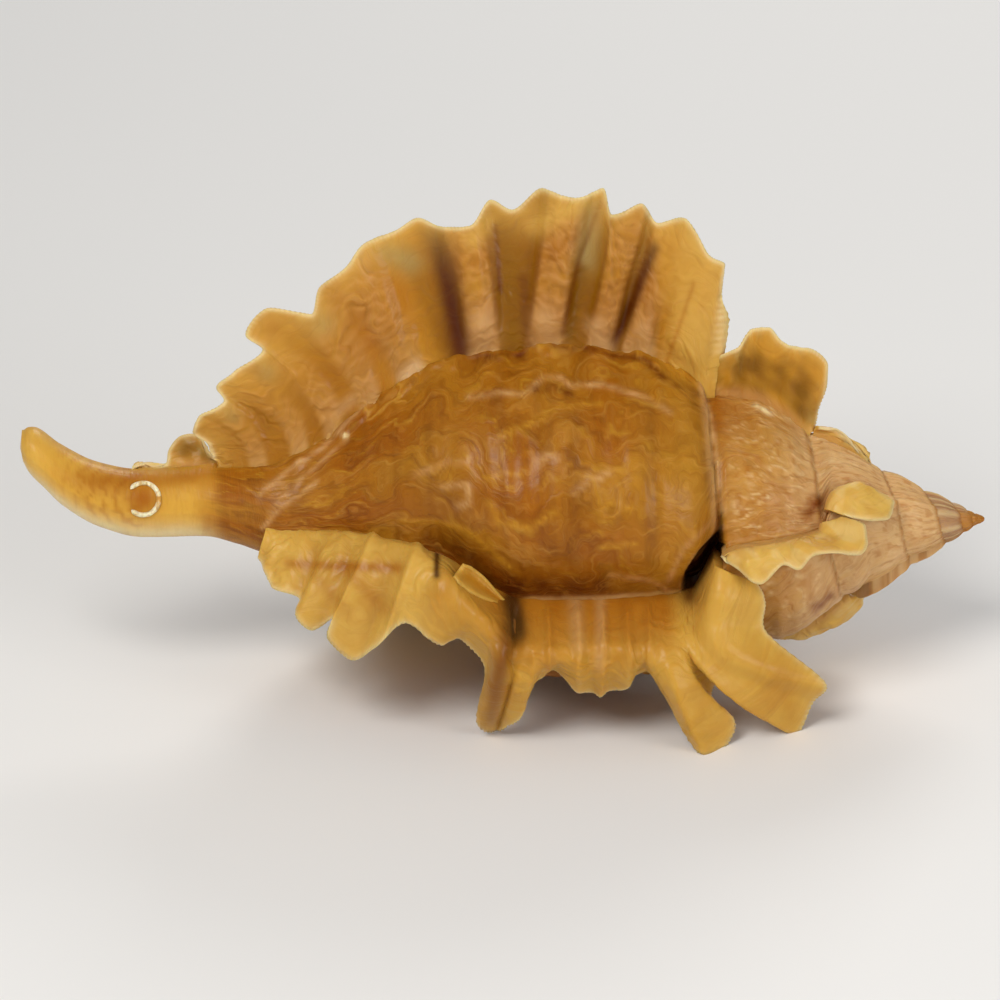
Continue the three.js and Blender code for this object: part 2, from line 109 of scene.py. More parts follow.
# Wing outlines from the spire end to the canal end: root x, then the rim's x, p and q.
LIP_WING = [
    (20.7, 20.9, 5.4, 16.9), (20.3, 21.9, 8.0, 22.2), (19.7, 22.5, 8.6, 24.7),
    (18.8, 20.6, 9.0, 26.0), (17.3, 18.4, 9.8, 29.6), (15.6, 15.7, 9.4, 29.0),
    (13.6, 14.2, 10.4, 30.9), (11.9, 11.3, 9.6, 29.9), (10.8, 10.8, 10.8, 32.1),
    (8.0, 8.3, 10.4, 31.7), (4.6, 5.2, 10.2, 32.4), (2.4, 2.3, 9.4, 30.5),
    (0.9, 0.2, 9.7, 31.5), (-0.9, -1.9, 9.1, 29.4), (-3.3, -4.7, 9.0, 29.3),
    (-4.6, -6.6, 9.2, 30.0), (-6.2, -8.9, 8.8, 28.9), (-8.6, -12.0, 8.8, 27.7),
    (-10.0, -13.6, 8.2, 25.9), (-11.6, -16.2, 7.6, 23.9), (-12.6, -17.0, 6.7, 21.6),
    (-13.9, -20.8, 7.0, 22.3), (-15.6, -23.3, 6.4, 19.7), (-16.6, -21.8, 5.9, 18.3),
    (-18.2, -24.5, 5.5, 16.4), (-20.0, -26.2, 5.1, 14.9), (-21.6, -25.6, 4.8, 13.7),
    (-23.2, -27.9, 4.5, 12.4), (-24.6, -28.6, 3.8, 10.8), (-25.7, -27.3, 2.8, 9.6),
    (-26.5, -26.9, 1.9, 8.2)]
SECOND_WING = [
    (21.2, 21.8, 9.6, -3.2), (20.6, 23.6, 10.6, -5.0), (20.0, 24.6, 11.0, -7.0),
    (19.4, 24.8, 10.4, -10.0), (18.8, 30.0, 9.0, -14.7), (18.3, 28.9, 7.2, -16.8),
    (17.8, 27.0, 6.1, -20.0), (17.3, 24.0, 7.6, -17.2), (16.9, 20.5, 9.2, -14.3),
    (16.5, 19.3, 9.2, -15.7), (16.1, 21.4, 8.4, -18.2), (15.6, 20.3, 8.6, -20.8),
    (15.0, 18.3, 9.8, -21.4), (14.3, 16.5, 8.8, -18.6), (13.5, 14.1, 10.0, -13.6),
    (12.1, 12.2, 10.2, -13.0), (10.8, 10.7, 9.6, -15.0), (8.8, 8.4, 9.2, -15.7),
    (6.8, 6.6, 9.6, -14.5), (5.3, 4.6, 10.0, -12.5), (4.1, 3.1, 9.8, -13.2),
    (3.1, 1.9, 8.6, -15.6), (2.3, 1.3, 7.4, -18.0), (1.2, -1.2, 5.6, -19.8),
    (0.2, -2.9, 6.4, -17.8), (-0.9, -1.9, 9.6, -12.2), (-2.4, -4.1, 11.2, -9.4),
    (-4.2, -5.8, 11.6, -9.7), (-6.4, -9.0, 12.2, -7.7), (-8.4, -12.0, 10.8, -10.0),
    (-10.0, -14.4, 9.4, -11.3), (-11.4, -16.4, 9.0, -9.2), (-12.8, -16.0, 9.4, -7.2),
    (-14.4, -18.2, 8.0, -8.2), (-16.0, -19.5, 7.4, -6.3), (-17.4, -19.4, 6.8, -5.0),
    (-19.2, -21.5, 5.4, -4.2), (-20.8, -22.2, 4.4, -2.6), (-22.2, -22.8, 3.4, -1.4)]
THIRD_WING = [
    (24.2, 25.2, -10.6, -7.0), (22.4, 25.6, -15.8, -7.0), (20.2, 23.6, -19.2, -6.6),
    (17.9, 20.4, -23.2, -6.3), (16.2, 17.6, -23.2, -6.3), (14.6, 15.4, -17.6, -6.4),
    (12.2, 13.0, -19.0, -6.4), (10.2, 10.4, -20.2, -6.0), (8.0, 8.0, -18.0, -6.2),
    (6.0, 5.4, -17.0, -6.6), (4.0, 3.2, -18.8, -6.8), (2.0, 0.6, -20.8, -6.6),
    (0.4, -1.4, -20.0, -6.2), (-1.6, -3.6, -16.6, -6.2), (-3.6, -6.0, -18.4, -6.4),
    (-5.4, -8.4, -23.2, -6.3), (-7.0, -10.8, -22.9, -6.5), (-9.2, -12.6, -16.4, -5.8),
    (-11.6, -15.0, -15.8, -5.4), (-13.8, -17.4, -12.6, -4.4), (-16.2, -19.6, -10.8, -3.0),
    (-18.6, -21.6, -7.4, -1.4), (-20.6, -22.6, -4.6, 0.2)]
CANAL_FROND = [
    (-26.2, -26.6, 0.6, 8.2), (-27.0, -27.6, 0.2, 9.4), (-27.6, -28.3, 0.0, 10.6),
    (-28.8, -30.0, 0.0, 10.5), (-29.6, -31.1, 0.1, 9.3), (-30.4, -31.4, 0.4, 8.0),
    (-31.6, -32.4, 0.8, 7.5), (-32.8, -33.5, 1.2, 8.0), (-34.2, -34.6, 1.8, 7.4)]
SPIRE_WINGS = [
    ("upper_lip_wing", LIP, [
        (20.6, 20.9, 5.2, 16.2), (22.0, 22.7, 6.4, 16.8), (23.4, 24.4, 6.8, 18.5),
        (24.6, 25.9, 7.0, 18.7), (25.7, 27.0, 6.6, 17.5), (26.8, 28.3, 6.4, 16.8),
        (27.8, 29.7, 6.3, 16.6), (28.6, 31.4, 5.6, 14.9), (29.0, 31.3, 5.0, 13.4),
        (29.4, 30.5, 3.6, 11.0), (29.6, 29.9, 2.9, 9.0)]),
    ("upper_second_wing", SECOND, [
        (21.0, 20.4, 12.2, -2.6), (22.2, 22.1, 13.2, -4.0), (23.7, 24.0, 13.8, -5.3),
        (25.2, 26.3, 13.2, -3.6), (26.4, 27.7, 12.8, -4.1), (27.6, 29.3, 12.2, -2.8),
        (28.6, 31.5, 11.8, -2.7), (29.3, 33.5, 10.8, -2.9), (29.8, 34.3, 10.2, -1.8),
        (30.2, 34.2, 9.4, -0.2), (30.5, 32.4, 8.6, 0.6)]),
    ("upper_third_wing", THIRD, [
        (25.8, 25.8, -5.0, -10.0), (27.2, 28.8, -6.4, -10.4), (29.2, 30.7, -6.8, -10.1),
        (31.0, 33.3, -6.4, -8.8), (32.3, 34.6, -5.4, -7.7), (33.0, 34.5, -3.6, -6.6)]),
    ("top_lip_wing", LIP, [
        (29.9, 30.6, 4.2, 9.3), (31.4, 33.1, 3.9, 8.0), (33.0, 34.6, 3.2, 6.3),
        (35.0, 35.6, 2.2, 4.5)]),
    ("top_second_wing", SECOND, [
        (30.9, 32.2, 9.3, 0.7), (31.9, 34.9, 8.8, 0.2), (32.7, 36.6, 7.8, 0.4),
        (33.3, 37.1, 6.4, 1.9), (34.0, 35.3, 5.8, 2.1)]),
]
# Flutes: root x, half width, height towards the back, lean of the rim end to +x.
LIP_FLUTES = [(17.3, 1.7, 1.2, 1.8), (13.2, 1.2, 1.0, 3.4), (9.9, 1.2, 1.2, 3.2),
              (4.7, 1.8, 1.4, 2.5), (-1.0, 1.6, 1.3, -0.4), (-7.9, 1.4, 0.8, -2.1),
              (-11.8, 1.1, 0.5, -1.2), (-15.3, 1.0, 0.45, -0.8), (-18.6, 1.0, 0.4, 0),
              (-22.6, 1.0, 0.3, 0)]
SECOND_FLUTES = [(18.4, 0.9, 0.3, 0), (15.4, 0.8, 0.3, 0), (9.0, 1.6, 0.9, 0), (1.4, 1.0, 1.0, 0),
                 (-5.0, 0.9, -0.6, 0), (-9.6, 1.1, 0.8, 0), (-13.6, 0.9, 0.55, 0),
                 (-17.0, 0.8, 0.5, 0)]
# Small folds on the second wing's face, from its root on: root x, half width, height forwards.
SECOND_ROOT_FOLDS = ((4.2, 0.35, 0.30), (7.0, 0.55, 0.55), (9.3, 0.45, 0.50), (11.6, 0.5, 0.45),
                   (13.6, 0.4, 0.35), (-8.0, 0.5, 0.4), (-12.0, 0.5, 0.4), (1.1, 0.5, -0.8))
THIRD_FLUTES = [(17.4, 1.4, 1.0, 0), (10.4, 1.2, 0.8, 0), (2.6, 1.3, 1.0, 0), (-6.0, 1.2, 1.0, 0),
                (-12.0, 1.0, 0.7, 0)]

# ---- colours, linear ----
AMBER = (0.375, 0.118, 0.003)
DEEP_AMBER = (0.135, 0.028, 0.0)
HONEY = (0.52, 0.245, 0.018)
CREAM = (0.66, 0.400, 0.080)
PALE = (0.82, 0.660, 0.340)
OLIVE = (0.20, 0.078, 0.0)
UMBER = (0.085, 0.014, 0.0)
# painted shade: near-black for holes and hollows that lie in shadow
RECESS_SHADE = (0.045, 0.006, 0.0)
# painted shade: grey-green where the thin shell lets darkness behind it show through
GREY_GREEN_SHADE = (0.33, 0.225, 0.070)
PINK_TAN = (0.57, 0.320, 0.120)
ROSE = (0.52, 0.255, 0.080)
MAUVE = (0.36, 0.190, 0.095)
ORANGE_TIP = (0.45, 0.180, 0.022)
CANAL_YELLOW = (0.64, 0.345, 0.045)
THROAT = (0.74, 0.540, 0.330)
CALLUS = (0.66, 0.42, 0.15)
RUST = (0.25, 0.07, 0.01)
STAIN = (0.17, 0.038, 0.0)
SPIRE_TAN = (0.66, 0.40, 0.17)
SPIRE_PALE = (0.72, 0.48, 0.23)
RIB_PALE = (0.72, 0.48, 0.24)
ROOT_TAN = (0.58, 0.32, 0.10)
STUB_CREAM = (0.88, 0.78, 0.52)

# ---- marks on the side that faces the viewer: height, width, colour, strength, line in x, q ----
LEDGE = [(-1.9, 16.9), (2.5, 16.8), (3.7, 18.6), (4.9, 18.3), (6.3, 17.4), (9.3, 17.3),
         (11.3, 16.6), (14.2, 16.1), (15.8, 14.3), (19, 12.6)]
# How far the ledge under the lip wing stands out or in, by x.
SCALLOPS = [(-24, 0), (-6, 0), (-3.4, 0.25), (-2, -0.35), (2.4, -0.45), (3.7, 0.75), (4.9, 0.55),
            (6.3, 0.1), (9.0, 0.15), (11.5, -0.25), (14, 0.1), (16, -0.45), (20, 0), (46, 0)]
# Edge of the hollow between the body and the second wing's spine: q, then x.
CRESCENT_EDGE = [(-40, 17.6), (-8, 17.3), (-6.1, 17.0), (-5.2, 16.8), (-2.5, 18.0), (0.1, 20.4),
                 (2, 21.6), (40, 24)]
BODY_MARKS = [
    # painted shade: dark line in the crease under the lip wing's ledge
    (0.00, 0.45, DEEP_AMBER, 0.75, LEDGE),
    (0.30, 0.30, PINK_TAN, 0.60, [(-2.4, 13.1), (0.3, 13.4), (2.8, 13.2), (4.6, 14.7),
                                  (6.2, 14.6), (7.1, 13.8), (10, 13.9), (14.1, 12.5), (16.2, 11)]),
    (0.00, 0.50, DEEP_AMBER, 0.65, [(3.8, 13.6), (5.4, 13.8), (7, 13)]),
    (0.30, 0.32, PINK_TAN, 0.80, [(19.6, 13.3), (20.3, 8.3), (20.9, 1.4)]),
    (0.00, 0.45, DEEP_AMBER, 0.35, [(18.6, 12), (19.2, 8), (19.6, 3)]),
    (0.28, 0.25, PINK_TAN, 0.90, [(17.1, -6.1), (16.9, -5.2), (18.2, -2.5), (20.8, 0.1)]),
    (0.16, 0.28, ROSE, 0.65, [(15.6, -4.7), (16.9, -1.9), (20.4, 1.2)]),
    (0.14, 0.30, HONEY, 0.60, [(0.3, 9.3), (2.9, 10.2), (5.8, 11.9), (9.8, 12)]),
    (0.18, 0.35, ROSE, 0.60, [(-7.8, 6), (-4.5, 7.1), (-2.9, 7)]),
    (0.35, 0.35, PINK_TAN, 0.80, [(3.8, 6.5), (4.6, 7.4), (5.6, 7.2)]),
    (0.30, 0.30, PINK_TAN, 0.70, [(7, 3.8), (8.3, 4.7), (10.3, 5.6)]),
    (0.20, 0.30, HONEY, 0.60, [(9.2, 2.1), (10.2, 2.7), (11.1, 2.8), (12.3, 2)]),
    (0.22, 0.38, HONEY, 0.80, [(-0.8, 3.1), (0, 1.2), (3.1, 0.7), (5.1, 2)]),
    (0.15, 0.30, HONEY, 0.60, [(-0.9, 5.3), (0.7, 5.8), (2.1, 5.8)]),
    (0.24, 0.30, PINK_TAN, 0.75, [(-5.2, 4.8), (-2.9, 4.9), (-2.7, 3.2), (-3.9, 2.9)]),
    (0.16, 0.30, HONEY, 0.70, [(-9.3, 1.8), (-5.6, 1.5), (-3.1, 0.7), (-1.3, -1.1), (0.8, -2.9)]),
    (0.16, 0.28, HONEY, 0.60, [(9.1, -1.4), (12.5, -1.1)]),
    (0.16, 0.26, ROSE, 0.60, [(10.2, -4), (13.9, -4.6), (15.6, -5.6)]),
    (0.00, 1.10, DEEP_AMBER, 0.70, [(-6.6, -0.6), (-2.9, -1.8), (-0.2, -4.6), (0.9, -6.1)]),
    # painted shade in the hole beside the curled scale
    (0.00, 0.60, UMBER, 0.75, [(0.2, -4.9), (0.9, -6.4), (1.3, -8)]),
    (0.00, 1.00, DEEP_AMBER, 0.80, [(0.8, -4.6), (5.5, -5.1), (9.2, -4.9)]),
    (0.00, 0.60, DEEP_AMBER, 0.35, [(14.5, 11.3), (14.5, 2.9), (14, -3.7)]),
    (0.00, 0.80, DEEP_AMBER, 0.35, [(7.4, 10.7), (6.7, -2.5)]),
    (0.20, 0.30, PINK_TAN, 0.60, [(-12.1, 13.1), (-16.3, 9), (-19.4, 7.2), (-22.5, 4.7)]),
    (0.20, 0.28, PINK_TAN, 0.55, [(-17.1, 5.7), (-20.6, 3.3), (-22.3, 1.5)]),
    (0.15, 0.26, PINK_TAN, 0.45, [(-14.2, 9.5), (-18.6, 6.1), (-21.7, 3)]),
    (0.25, 0.25, PALE, 1.00, [(-14.3, 10), (-14.2, 9.9)]),
    (0.00, 0.60, AMBER, 0.25, [(-28.3, 7.2), (-27.7, 2)]),
    (0.25, 0.25, PALE, 0.85, [(24.5, 11.5), (25.7, 10.7)]),
    (0.00, 0.70, RUST, 0.90, [(28.8, 1.3), (29.8, 2.3), (30.6, 1.8)]),
    (0.00, 0.50, RUST, 0.80, [(33.2, 3.6), (34.9, 3.1)]),
    (0.00, 0.60, RUST, 0.80, [(29.4, -7.7), (31, -6.9)]),
]
LIP_MARKS = [
    (1.30, CREAM, 0.70, [(4.5, 29), (7.0, 30.3), (10.3, 31.4)]),
    (0.80, CREAM, 0.60, [(0.0, 29.5), (-1.6, 27.5)]),
    # the next ten marks darken the channels between the ribs: partly the shell's own olive and
    # brown, partly painted shade
    (1.10, OLIVE, 0.45, [(-7.6, 27.0), (-6.1, 22.6), (-4.7, 18.1)]),
    (1.25, UMBER, 1.00, [(-5.2, 28.8), (-4.2, 24.2), (-3.0, 17.6)]),
    (1.00, OLIVE, 0.50, [(1.4, 29.2), (1.7, 23.1), (1.8, 17.9)]),
    (0.60, DEEP_AMBER, 0.55, [(3.0, 24.1), (3.3, 17.9)]),
    (0.30, DEEP_AMBER, 0.80, [(0.6, 29), (0.8, 23)]),
    (1.05, GREY_GREEN_SHADE, 0.90, [(9.6, 30.1), (8.8, 25.5)]),
    (0.75, OLIVE, 0.85, [(8.4, 24.7), (7.2, 18.7)]),
    (0.26, DEEP_AMBER, 0.60, [(10.5, 30.8), (8.3, 25.7), (6.5, 18.7)]),
    (0.60, UMBER, 0.95, [(15.3, 26.4), (13.7, 22.7), (12.2, 19.4), (11.1, 17.6)]),
    (0.22, AMBER, 0.55, [(18.9, 22.9), (17.4, 18.8), (16.1, 15.5)]),
    # the next six marks: pale feet where the ribs start, partly their own pink-tan, partly painted
    # highlight where the rib tops begin
    (1.20, PINK_TAN, 0.75, [(-0.9, 20.2), (-0.9, 17.2)]),
    (1.20, PINK_TAN, 0.75, [(4.9, 20.3), (5.3, 18)]),
    (0.85, PINK_TAN, 0.80, [(9.6, 19.4), (10.5, 17.4)]),
    (0.80, PINK_TAN, 0.60, [(14.2, 19), (14.6, 16.6)]),
    (0.85, RIB_PALE, 0.80, [(-8.1, 15.3), (-7.4, 16.1)]),
    (0.60, PINK_TAN, 0.60, [(-14.6, 12.4), (-13.5, 13.3)]),
    # the next four marks: painted shade where the thin edge lets darkness behind it show through
    (1.30, GREY_GREEN_SHADE, 0.85, [(-9.6, 27.0), (-7.6, 26.0)]),
    (1.20, GREY_GREEN_SHADE, 0.75, [(-17.0, 21.3), (-16.0, 20.5)]),
    (1.00, GREY_GREEN_SHADE, 0.65, [(-22.2, 17.1), (-21.4, 16.2)]),
    (0.80, GREY_GREEN_SHADE, 0.65, [(-25.4, 12.9), (-24.8, 12.2)]),
]
SECOND_MARKS = [
    (0.70, PINK_TAN, 0.60, [(6.8, -6.2), (6.9, -10.5)]),
    (0.50, PINK_TAN, 0.60, [(9.2, -6.2), (8.8, -12.5)]),
    (0.55, AMBER, 0.70, [(4.9, -6.4), (4.8, -10)]),
    (0.55, AMBER, 0.60, [(11.3, -6.2), (12, -10)]),
    (1.10, STAIN, 0.95, [(0.6, -8.8), (-0.6, -12.8), (-1.5, -17.4)]),
    # the next three marks: painted shade in the dark hole beside the curled scale and a gap at the
    # wing's root
    (1.00, RECESS_SHADE, 1.00, [(0.9, -6), (1.3, -9)]),
    (0.75, RECESS_SHADE, 1.00, [(0.9, -6), (1.2, -8.4)]),
    (0.32, RECESS_SHADE, 1.00, [(-5.9, -0.2), (-6, -3.4)]),
    # painted shade of the crescent hollow between the body and this wing's spine
    (0.90, UMBER, 0.85, [(17.5, -6.3), (18.0, -4), (20.4, -1.2)]),
    (0.50, AMBER, 0.80, [(-20, -1.9), (-15.2, -2.3), (-9.6, -2.6)]),
    (0.70, AMBER, 0.50, [(-14.6, -2.5), (-11, -6.4)]),
    (0.60, AMBER, 0.40, [(-17.5, -3.0), (-14.6, -6.8)]),
]

rng = np.random.default_rng(7)


def curve(table, at):
    """Smooth curve through a table's points that never overshoots them."""
    pts = np.asarray(table, float)
    at = np.clip(np.asarray(at, float), pts[0, 0], pts[-1, 0])
    width = np.diff(pts[:, 0])
    slope = np.diff(pts[:, 1]) / width
    tangent = np.zeros(len(pts))
    tangent[0], tangent[-1] = slope[0], slope[-1]
    before, after = slope[:-1], slope[1:]
    turning = before * after <= 0
    total = np.where(turning, 1.0, before + after)
    tangent[1:-1] = np.where(turning, 0.0, 2 * before * after / total)
    i = np.clip(np.searchsorted(pts[:, 0], at, side="right") - 1, 0, len(pts) - 2)
    t = (at - pts[i, 0]) / width[i]
    ends = (1 + 2 * t) * (1 - t) ** 2 * pts[i, 1] + t * t * (3 - 2 * t) * pts[i + 1, 1]
    leans = t * (1 - t) ** 2 * tangent[i] - t * t * (1 - t) * tangent[i + 1]
    return ends + width[i] * leans


def smooth(low, high, v):
    """0 to 1 as v goes from low to high, with level ends."""
    t = np.clip((np.asarray(v, float) - low) / (high - low), 0, 1)
    return t * t * (3 - 2 * t)


def mix(a, b, t):
    """Part t of the way from a to b."""
    return a + (b - a) * t


def bell(v):
    """Rounded bump of width 1."""
    return np.exp(-np.asarray(v, float) ** 2)


def flat(v):
    """Bump of width 1 with a flatter top."""
    return np.exp(-np.asarray(v, float) ** 4)


def wave_field(size, count=9, spread=0.6):
    """Irregular smooth noise of two coordinates, about unit height and size across."""
    turn = rng.uniform(0, 2 * math.pi, count)
    step = 2 * math.pi / (size * rng.uniform(1 - spread, 1 + spread, count))
    phase = rng.uniform(0, 2 * math.pi, count)

    def field(u, v):
        total = 0
        for a, k, shift in zip(turn, step, phase):
            total = total + np.sin(k * (u * math.cos(a) + v * math.sin(a)) + shift)
        return total / math.sqrt(count / 2)
    return field


BROAD = wave_field(9.0)
PATCH = wave_field(5.5)
BEND = wave_field(6.5)
CRINKLE = wave_field(2.6)
TINY = wave_field(1.3)
FADE = wave_field(7.0)
CORD = wave_field(3.0)


def growth_ridges(grow, across, spacing, width):
    """Thin wavy ridges along the growing edge, coming and going; and the bent distance."""
    bent = grow + 0.95 * BEND(grow * 0.6, across) + 0.32 * CRINKLE(grow, across * 0.9)
    step = bent / spacing
    nearest = np.round(step)
    fade = np.clip(0.15 + 0.75 * FADE(across * 0.9, nearest * 5.3), 0, 1)
    return bell((step - nearest) * spacing / width) * fade, bent


def whorl_state(distance, part):
    """Radius, turn and distance below the suture of the coiled whorls."""
    distance, part = np.broadcast_arrays(distance, part)
    turn = np.zeros(distance.shape)
    for _ in range(7):
        turn += distance < curve(SUTURE, turn + part)
    suture = curve(SUTURE, turn + part)
    size = TURN_SHRINK ** part
    belly = np.sin(math.pi * smooth(SECOND[1], THIRD[1], part))
    body = size * (1 - BELLY_TUCK * belly) * curve(BODY_PROFILE, (distance - suture) / size)
    span = curve(SUTURE, np.maximum(turn - 1, 0) + part) - suture
    across = np.clip((distance - suture) / np.where(span > 0, span, 1), 0, 1)
    bulge = 1 + 0.13 * np.sin(math.pi * across ** 0.8)
    cone = curve(SPIRE_CONE, distance) * distance * bulge
    tip = 0.62 * np.sqrt(np.minimum(distance, 1.4) / 1.4)
    radius = np.where(turn == 0, body, np.maximum(cone, tip))
    return radius, turn, distance - suture


def flare_height(whorl):
    """How far the whorl's edge turns up along a wing line."""
    return LIP_FLARE * np.minimum(1, whorl / 14)


def on_shell(x, angle, radius):
    """Points at an angle in degrees and a radius around the shell's bent centre line."""
    rad = np.radians(angle)
    return np.stack(np.broadcast_arrays(
        x, curve(CENTRE_P, x) + radius * np.cos(rad),
        curve(CENTRE_Q, x) + radius * np.sin(rad)), -1)


def to_world(points):
    """Shell frame in mm to the row frame in metres, kept inside the frame's box."""
    x, p, q = points[..., 0], points[..., 1], points[..., 2]
    y = -p * math.cos(REST_TILT) + q * math.sin(REST_TILT) + SHIFT_Y
    z = p * math.sin(REST_TILT) + q * math.cos(REST_TILT) - REST_LEVEL
    metres = np.stack([x + SHIFT_X, y, z], -1) / 1000
    return np.clip(metres, BOX_LOW, BOX_HIGH)


def paint(base, colour, amount):
    """Lays a colour over another by an amount from 0 to 1 at each point."""
    return base + (np.asarray(colour) - base) * np.clip(amount, 0, 1)[..., None]


def near_line(x, q, line, width):
    """1 on a polyline in the x, q plane, falling off over width."""
    best = np.full(np.broadcast(x, q).shape, 1e9)
    for (x0, q0), (x1, q1) in zip(line[:-1], line[1:]):
        length = (x1 - x0) ** 2 + (q1 - q0) ** 2
        t = np.clip(((x - x0) * (x1 - x0) + (q - q0) * (q1 - q0)) / length, 0, 1)
        away = (x - x0 - t * (x1 - x0)) ** 2 + (q - q0 - t * (q1 - q0)) ** 2
        best = np.minimum(best, away)
    return np.exp(-best / width ** 2)


def make_mesh(name, points, faces, tone, skin, gloss):
    """A mesh object with its painted tone, its growth coordinates and its rim distance."""
    mesh = bpy.data.meshes.new(name)
    mesh.from_pydata(to_world(points).tolist(), [], faces)
    count = len(points)
    shade = np.concatenate([np.clip(tone, 0, 1), np.ones((count, 1))], 1)
    mesh.attributes.new("tone", "FLOAT_COLOR", "POINT").data.foreach_set("color", shade.ravel())
    mesh.attributes.new("skin", "FLOAT_VECTOR", "POINT").data.foreach_set("vector", skin.ravel())
    mesh.attributes.new("gloss", "FLOAT", "POINT").data.foreach_set("value", gloss)
    mesh.validate()
    piece = bpy.data.objects.new(name, mesh)
    bpy.context.scene.collection.objects.link(piece)
    turn_outward(piece)
    return piece


def turn_outward(piece):
    """Faces out, from the mesh's signed volume."""
    mesh = piece.data
    corners = np.zeros(len(mesh.vertices) * 3)
    mesh.vertices.foreach_get("co", corners)
    corners = corners.reshape(-1, 3)
    mesh.calc_loop_triangles()
    tris = np.zeros(len(mesh.loop_triangles) * 3, int)
    mesh.loop_triangles.foreach_get("vertices", tris)
    a, b, c = (corners[tris.reshape(-1, 3)[:, k]] for k in range(3))
    if np.einsum("ij,ij->i", a, np.cross(b, c)).sum() < 0:
        mesh.flip_normals()
    mesh.polygons.foreach_set("use_smooth", [True] * len(mesh.polygons))
    mesh.update()


# ---- body, spire and canal ----
# Sectors between wing lines: first line, last line, degrees added, part of a turn at each.
SECTORS = [
    (SECOND_LINE, LIP_LINE, 0, SECOND[1], 0.0),
    (LIP_LINE, THIRD_LINE, 360, 1.0, THIRD[1]),
    (THIRD_LINE, SECOND_LINE, 0, THIRD[1], SECOND[1]),
]


def stations(fineness):
    """Stations along the axis: close together at the apex, wider on body and canal."""
    end = APEX_X - CANAL_END_X
    out = [0.05]
    while out[-1] < end - 0.12:
        here = out[-1]
        step = min(0.09 + 0.012 * here, 0.29, max(0.05, (end - here) * 0.12))
        out.append(here + step * fineness)
    out[-1] = end
    return APEX_X - np.array(out)


def body_radius(x, sector):
    """Outer radius and paint coordinates over one sector; x is a column, v a row."""
    start, stop, wrap, part_from, part_to = sector
    columns = COLUMNS[part_to]
    even = np.linspace(0, 1, columns)
    v = even - 0.1 * np.sin(2 * math.pi * even)
    from_line = curve(start, x)[:, None]
    to_line = curve(stop, x)[:, None] + wrap
    angle = mix(from_line + 0.5, to_line - 0.5, v[None, :])
    part = np.broadcast_to(mix(part_from, part_to, v)[None, :], angle.shape)
    distance = np.broadcast_to(APEX_X - x[:, None], angle.shape)
    whorl, turn, below = whorl_state(distance, part)
    since = angle - from_line
    until = np.radians(to_line - angle) * whorl
    column_x = x[:, None]
    if start is LIP_LINE:
        lip = whorl_state(distance, np.zeros_like(part))[0]
        ramp = mix(55, 4, smooth(-14, -5, column_x))
        hold = np.where(distance > SUTURE[0][1], 1 - smooth(0, 1, since / ramp), 0)
        hold = hold * (1 - smooth(-5, -3, column_x))
        callus = 1 - 0.1 * bell(since / 40)
        radius = mix(whorl * callus, lip, hold)
    else:
        on_body = smooth(-9, -4, column_x)
        dip = np.where(column_x > 21, 0.13, mix(0.16, AFTER_WING_DIP, on_body))
        radius = whorl * (1 - dip * bell(since / 32))
    radius = radius + flare_height(whorl) * np.exp(-until / 2.2)
    canal = np.broadcast_to(curve(CANAL_RADIUS, x)[:, None], radius.shape)
    high, low = np.maximum(radius, canal), np.minimum(radius, canal)
    radius = high + 0.42 * np.exp(-(high - low) / 1.2) * (column_x < -3)
    return angle, part, turn, below, since, until, radius, high - whorl


def crescent(x, angle, part, turn, radius):
    """1 inside the crescent-shaped hollow beside the second wing's spine."""
    q = curve(CENTRE_Q, x) + radius * np.sin(np.radians(angle))
    inside = smooth(-0.1, 0.6, x - curve(CRESCENT_EDGE, q)) * (1 - smooth(20.6, 21.6, x))
    level = smooth(-9.5, -8, q) * (1 - smooth(-0.6, 0.4, q))
    facing = (part < SECOND[1] + 0.001) * (np.cos(np.radians(angle)) > 0)
    return inside * level * (turn == 0) * facing


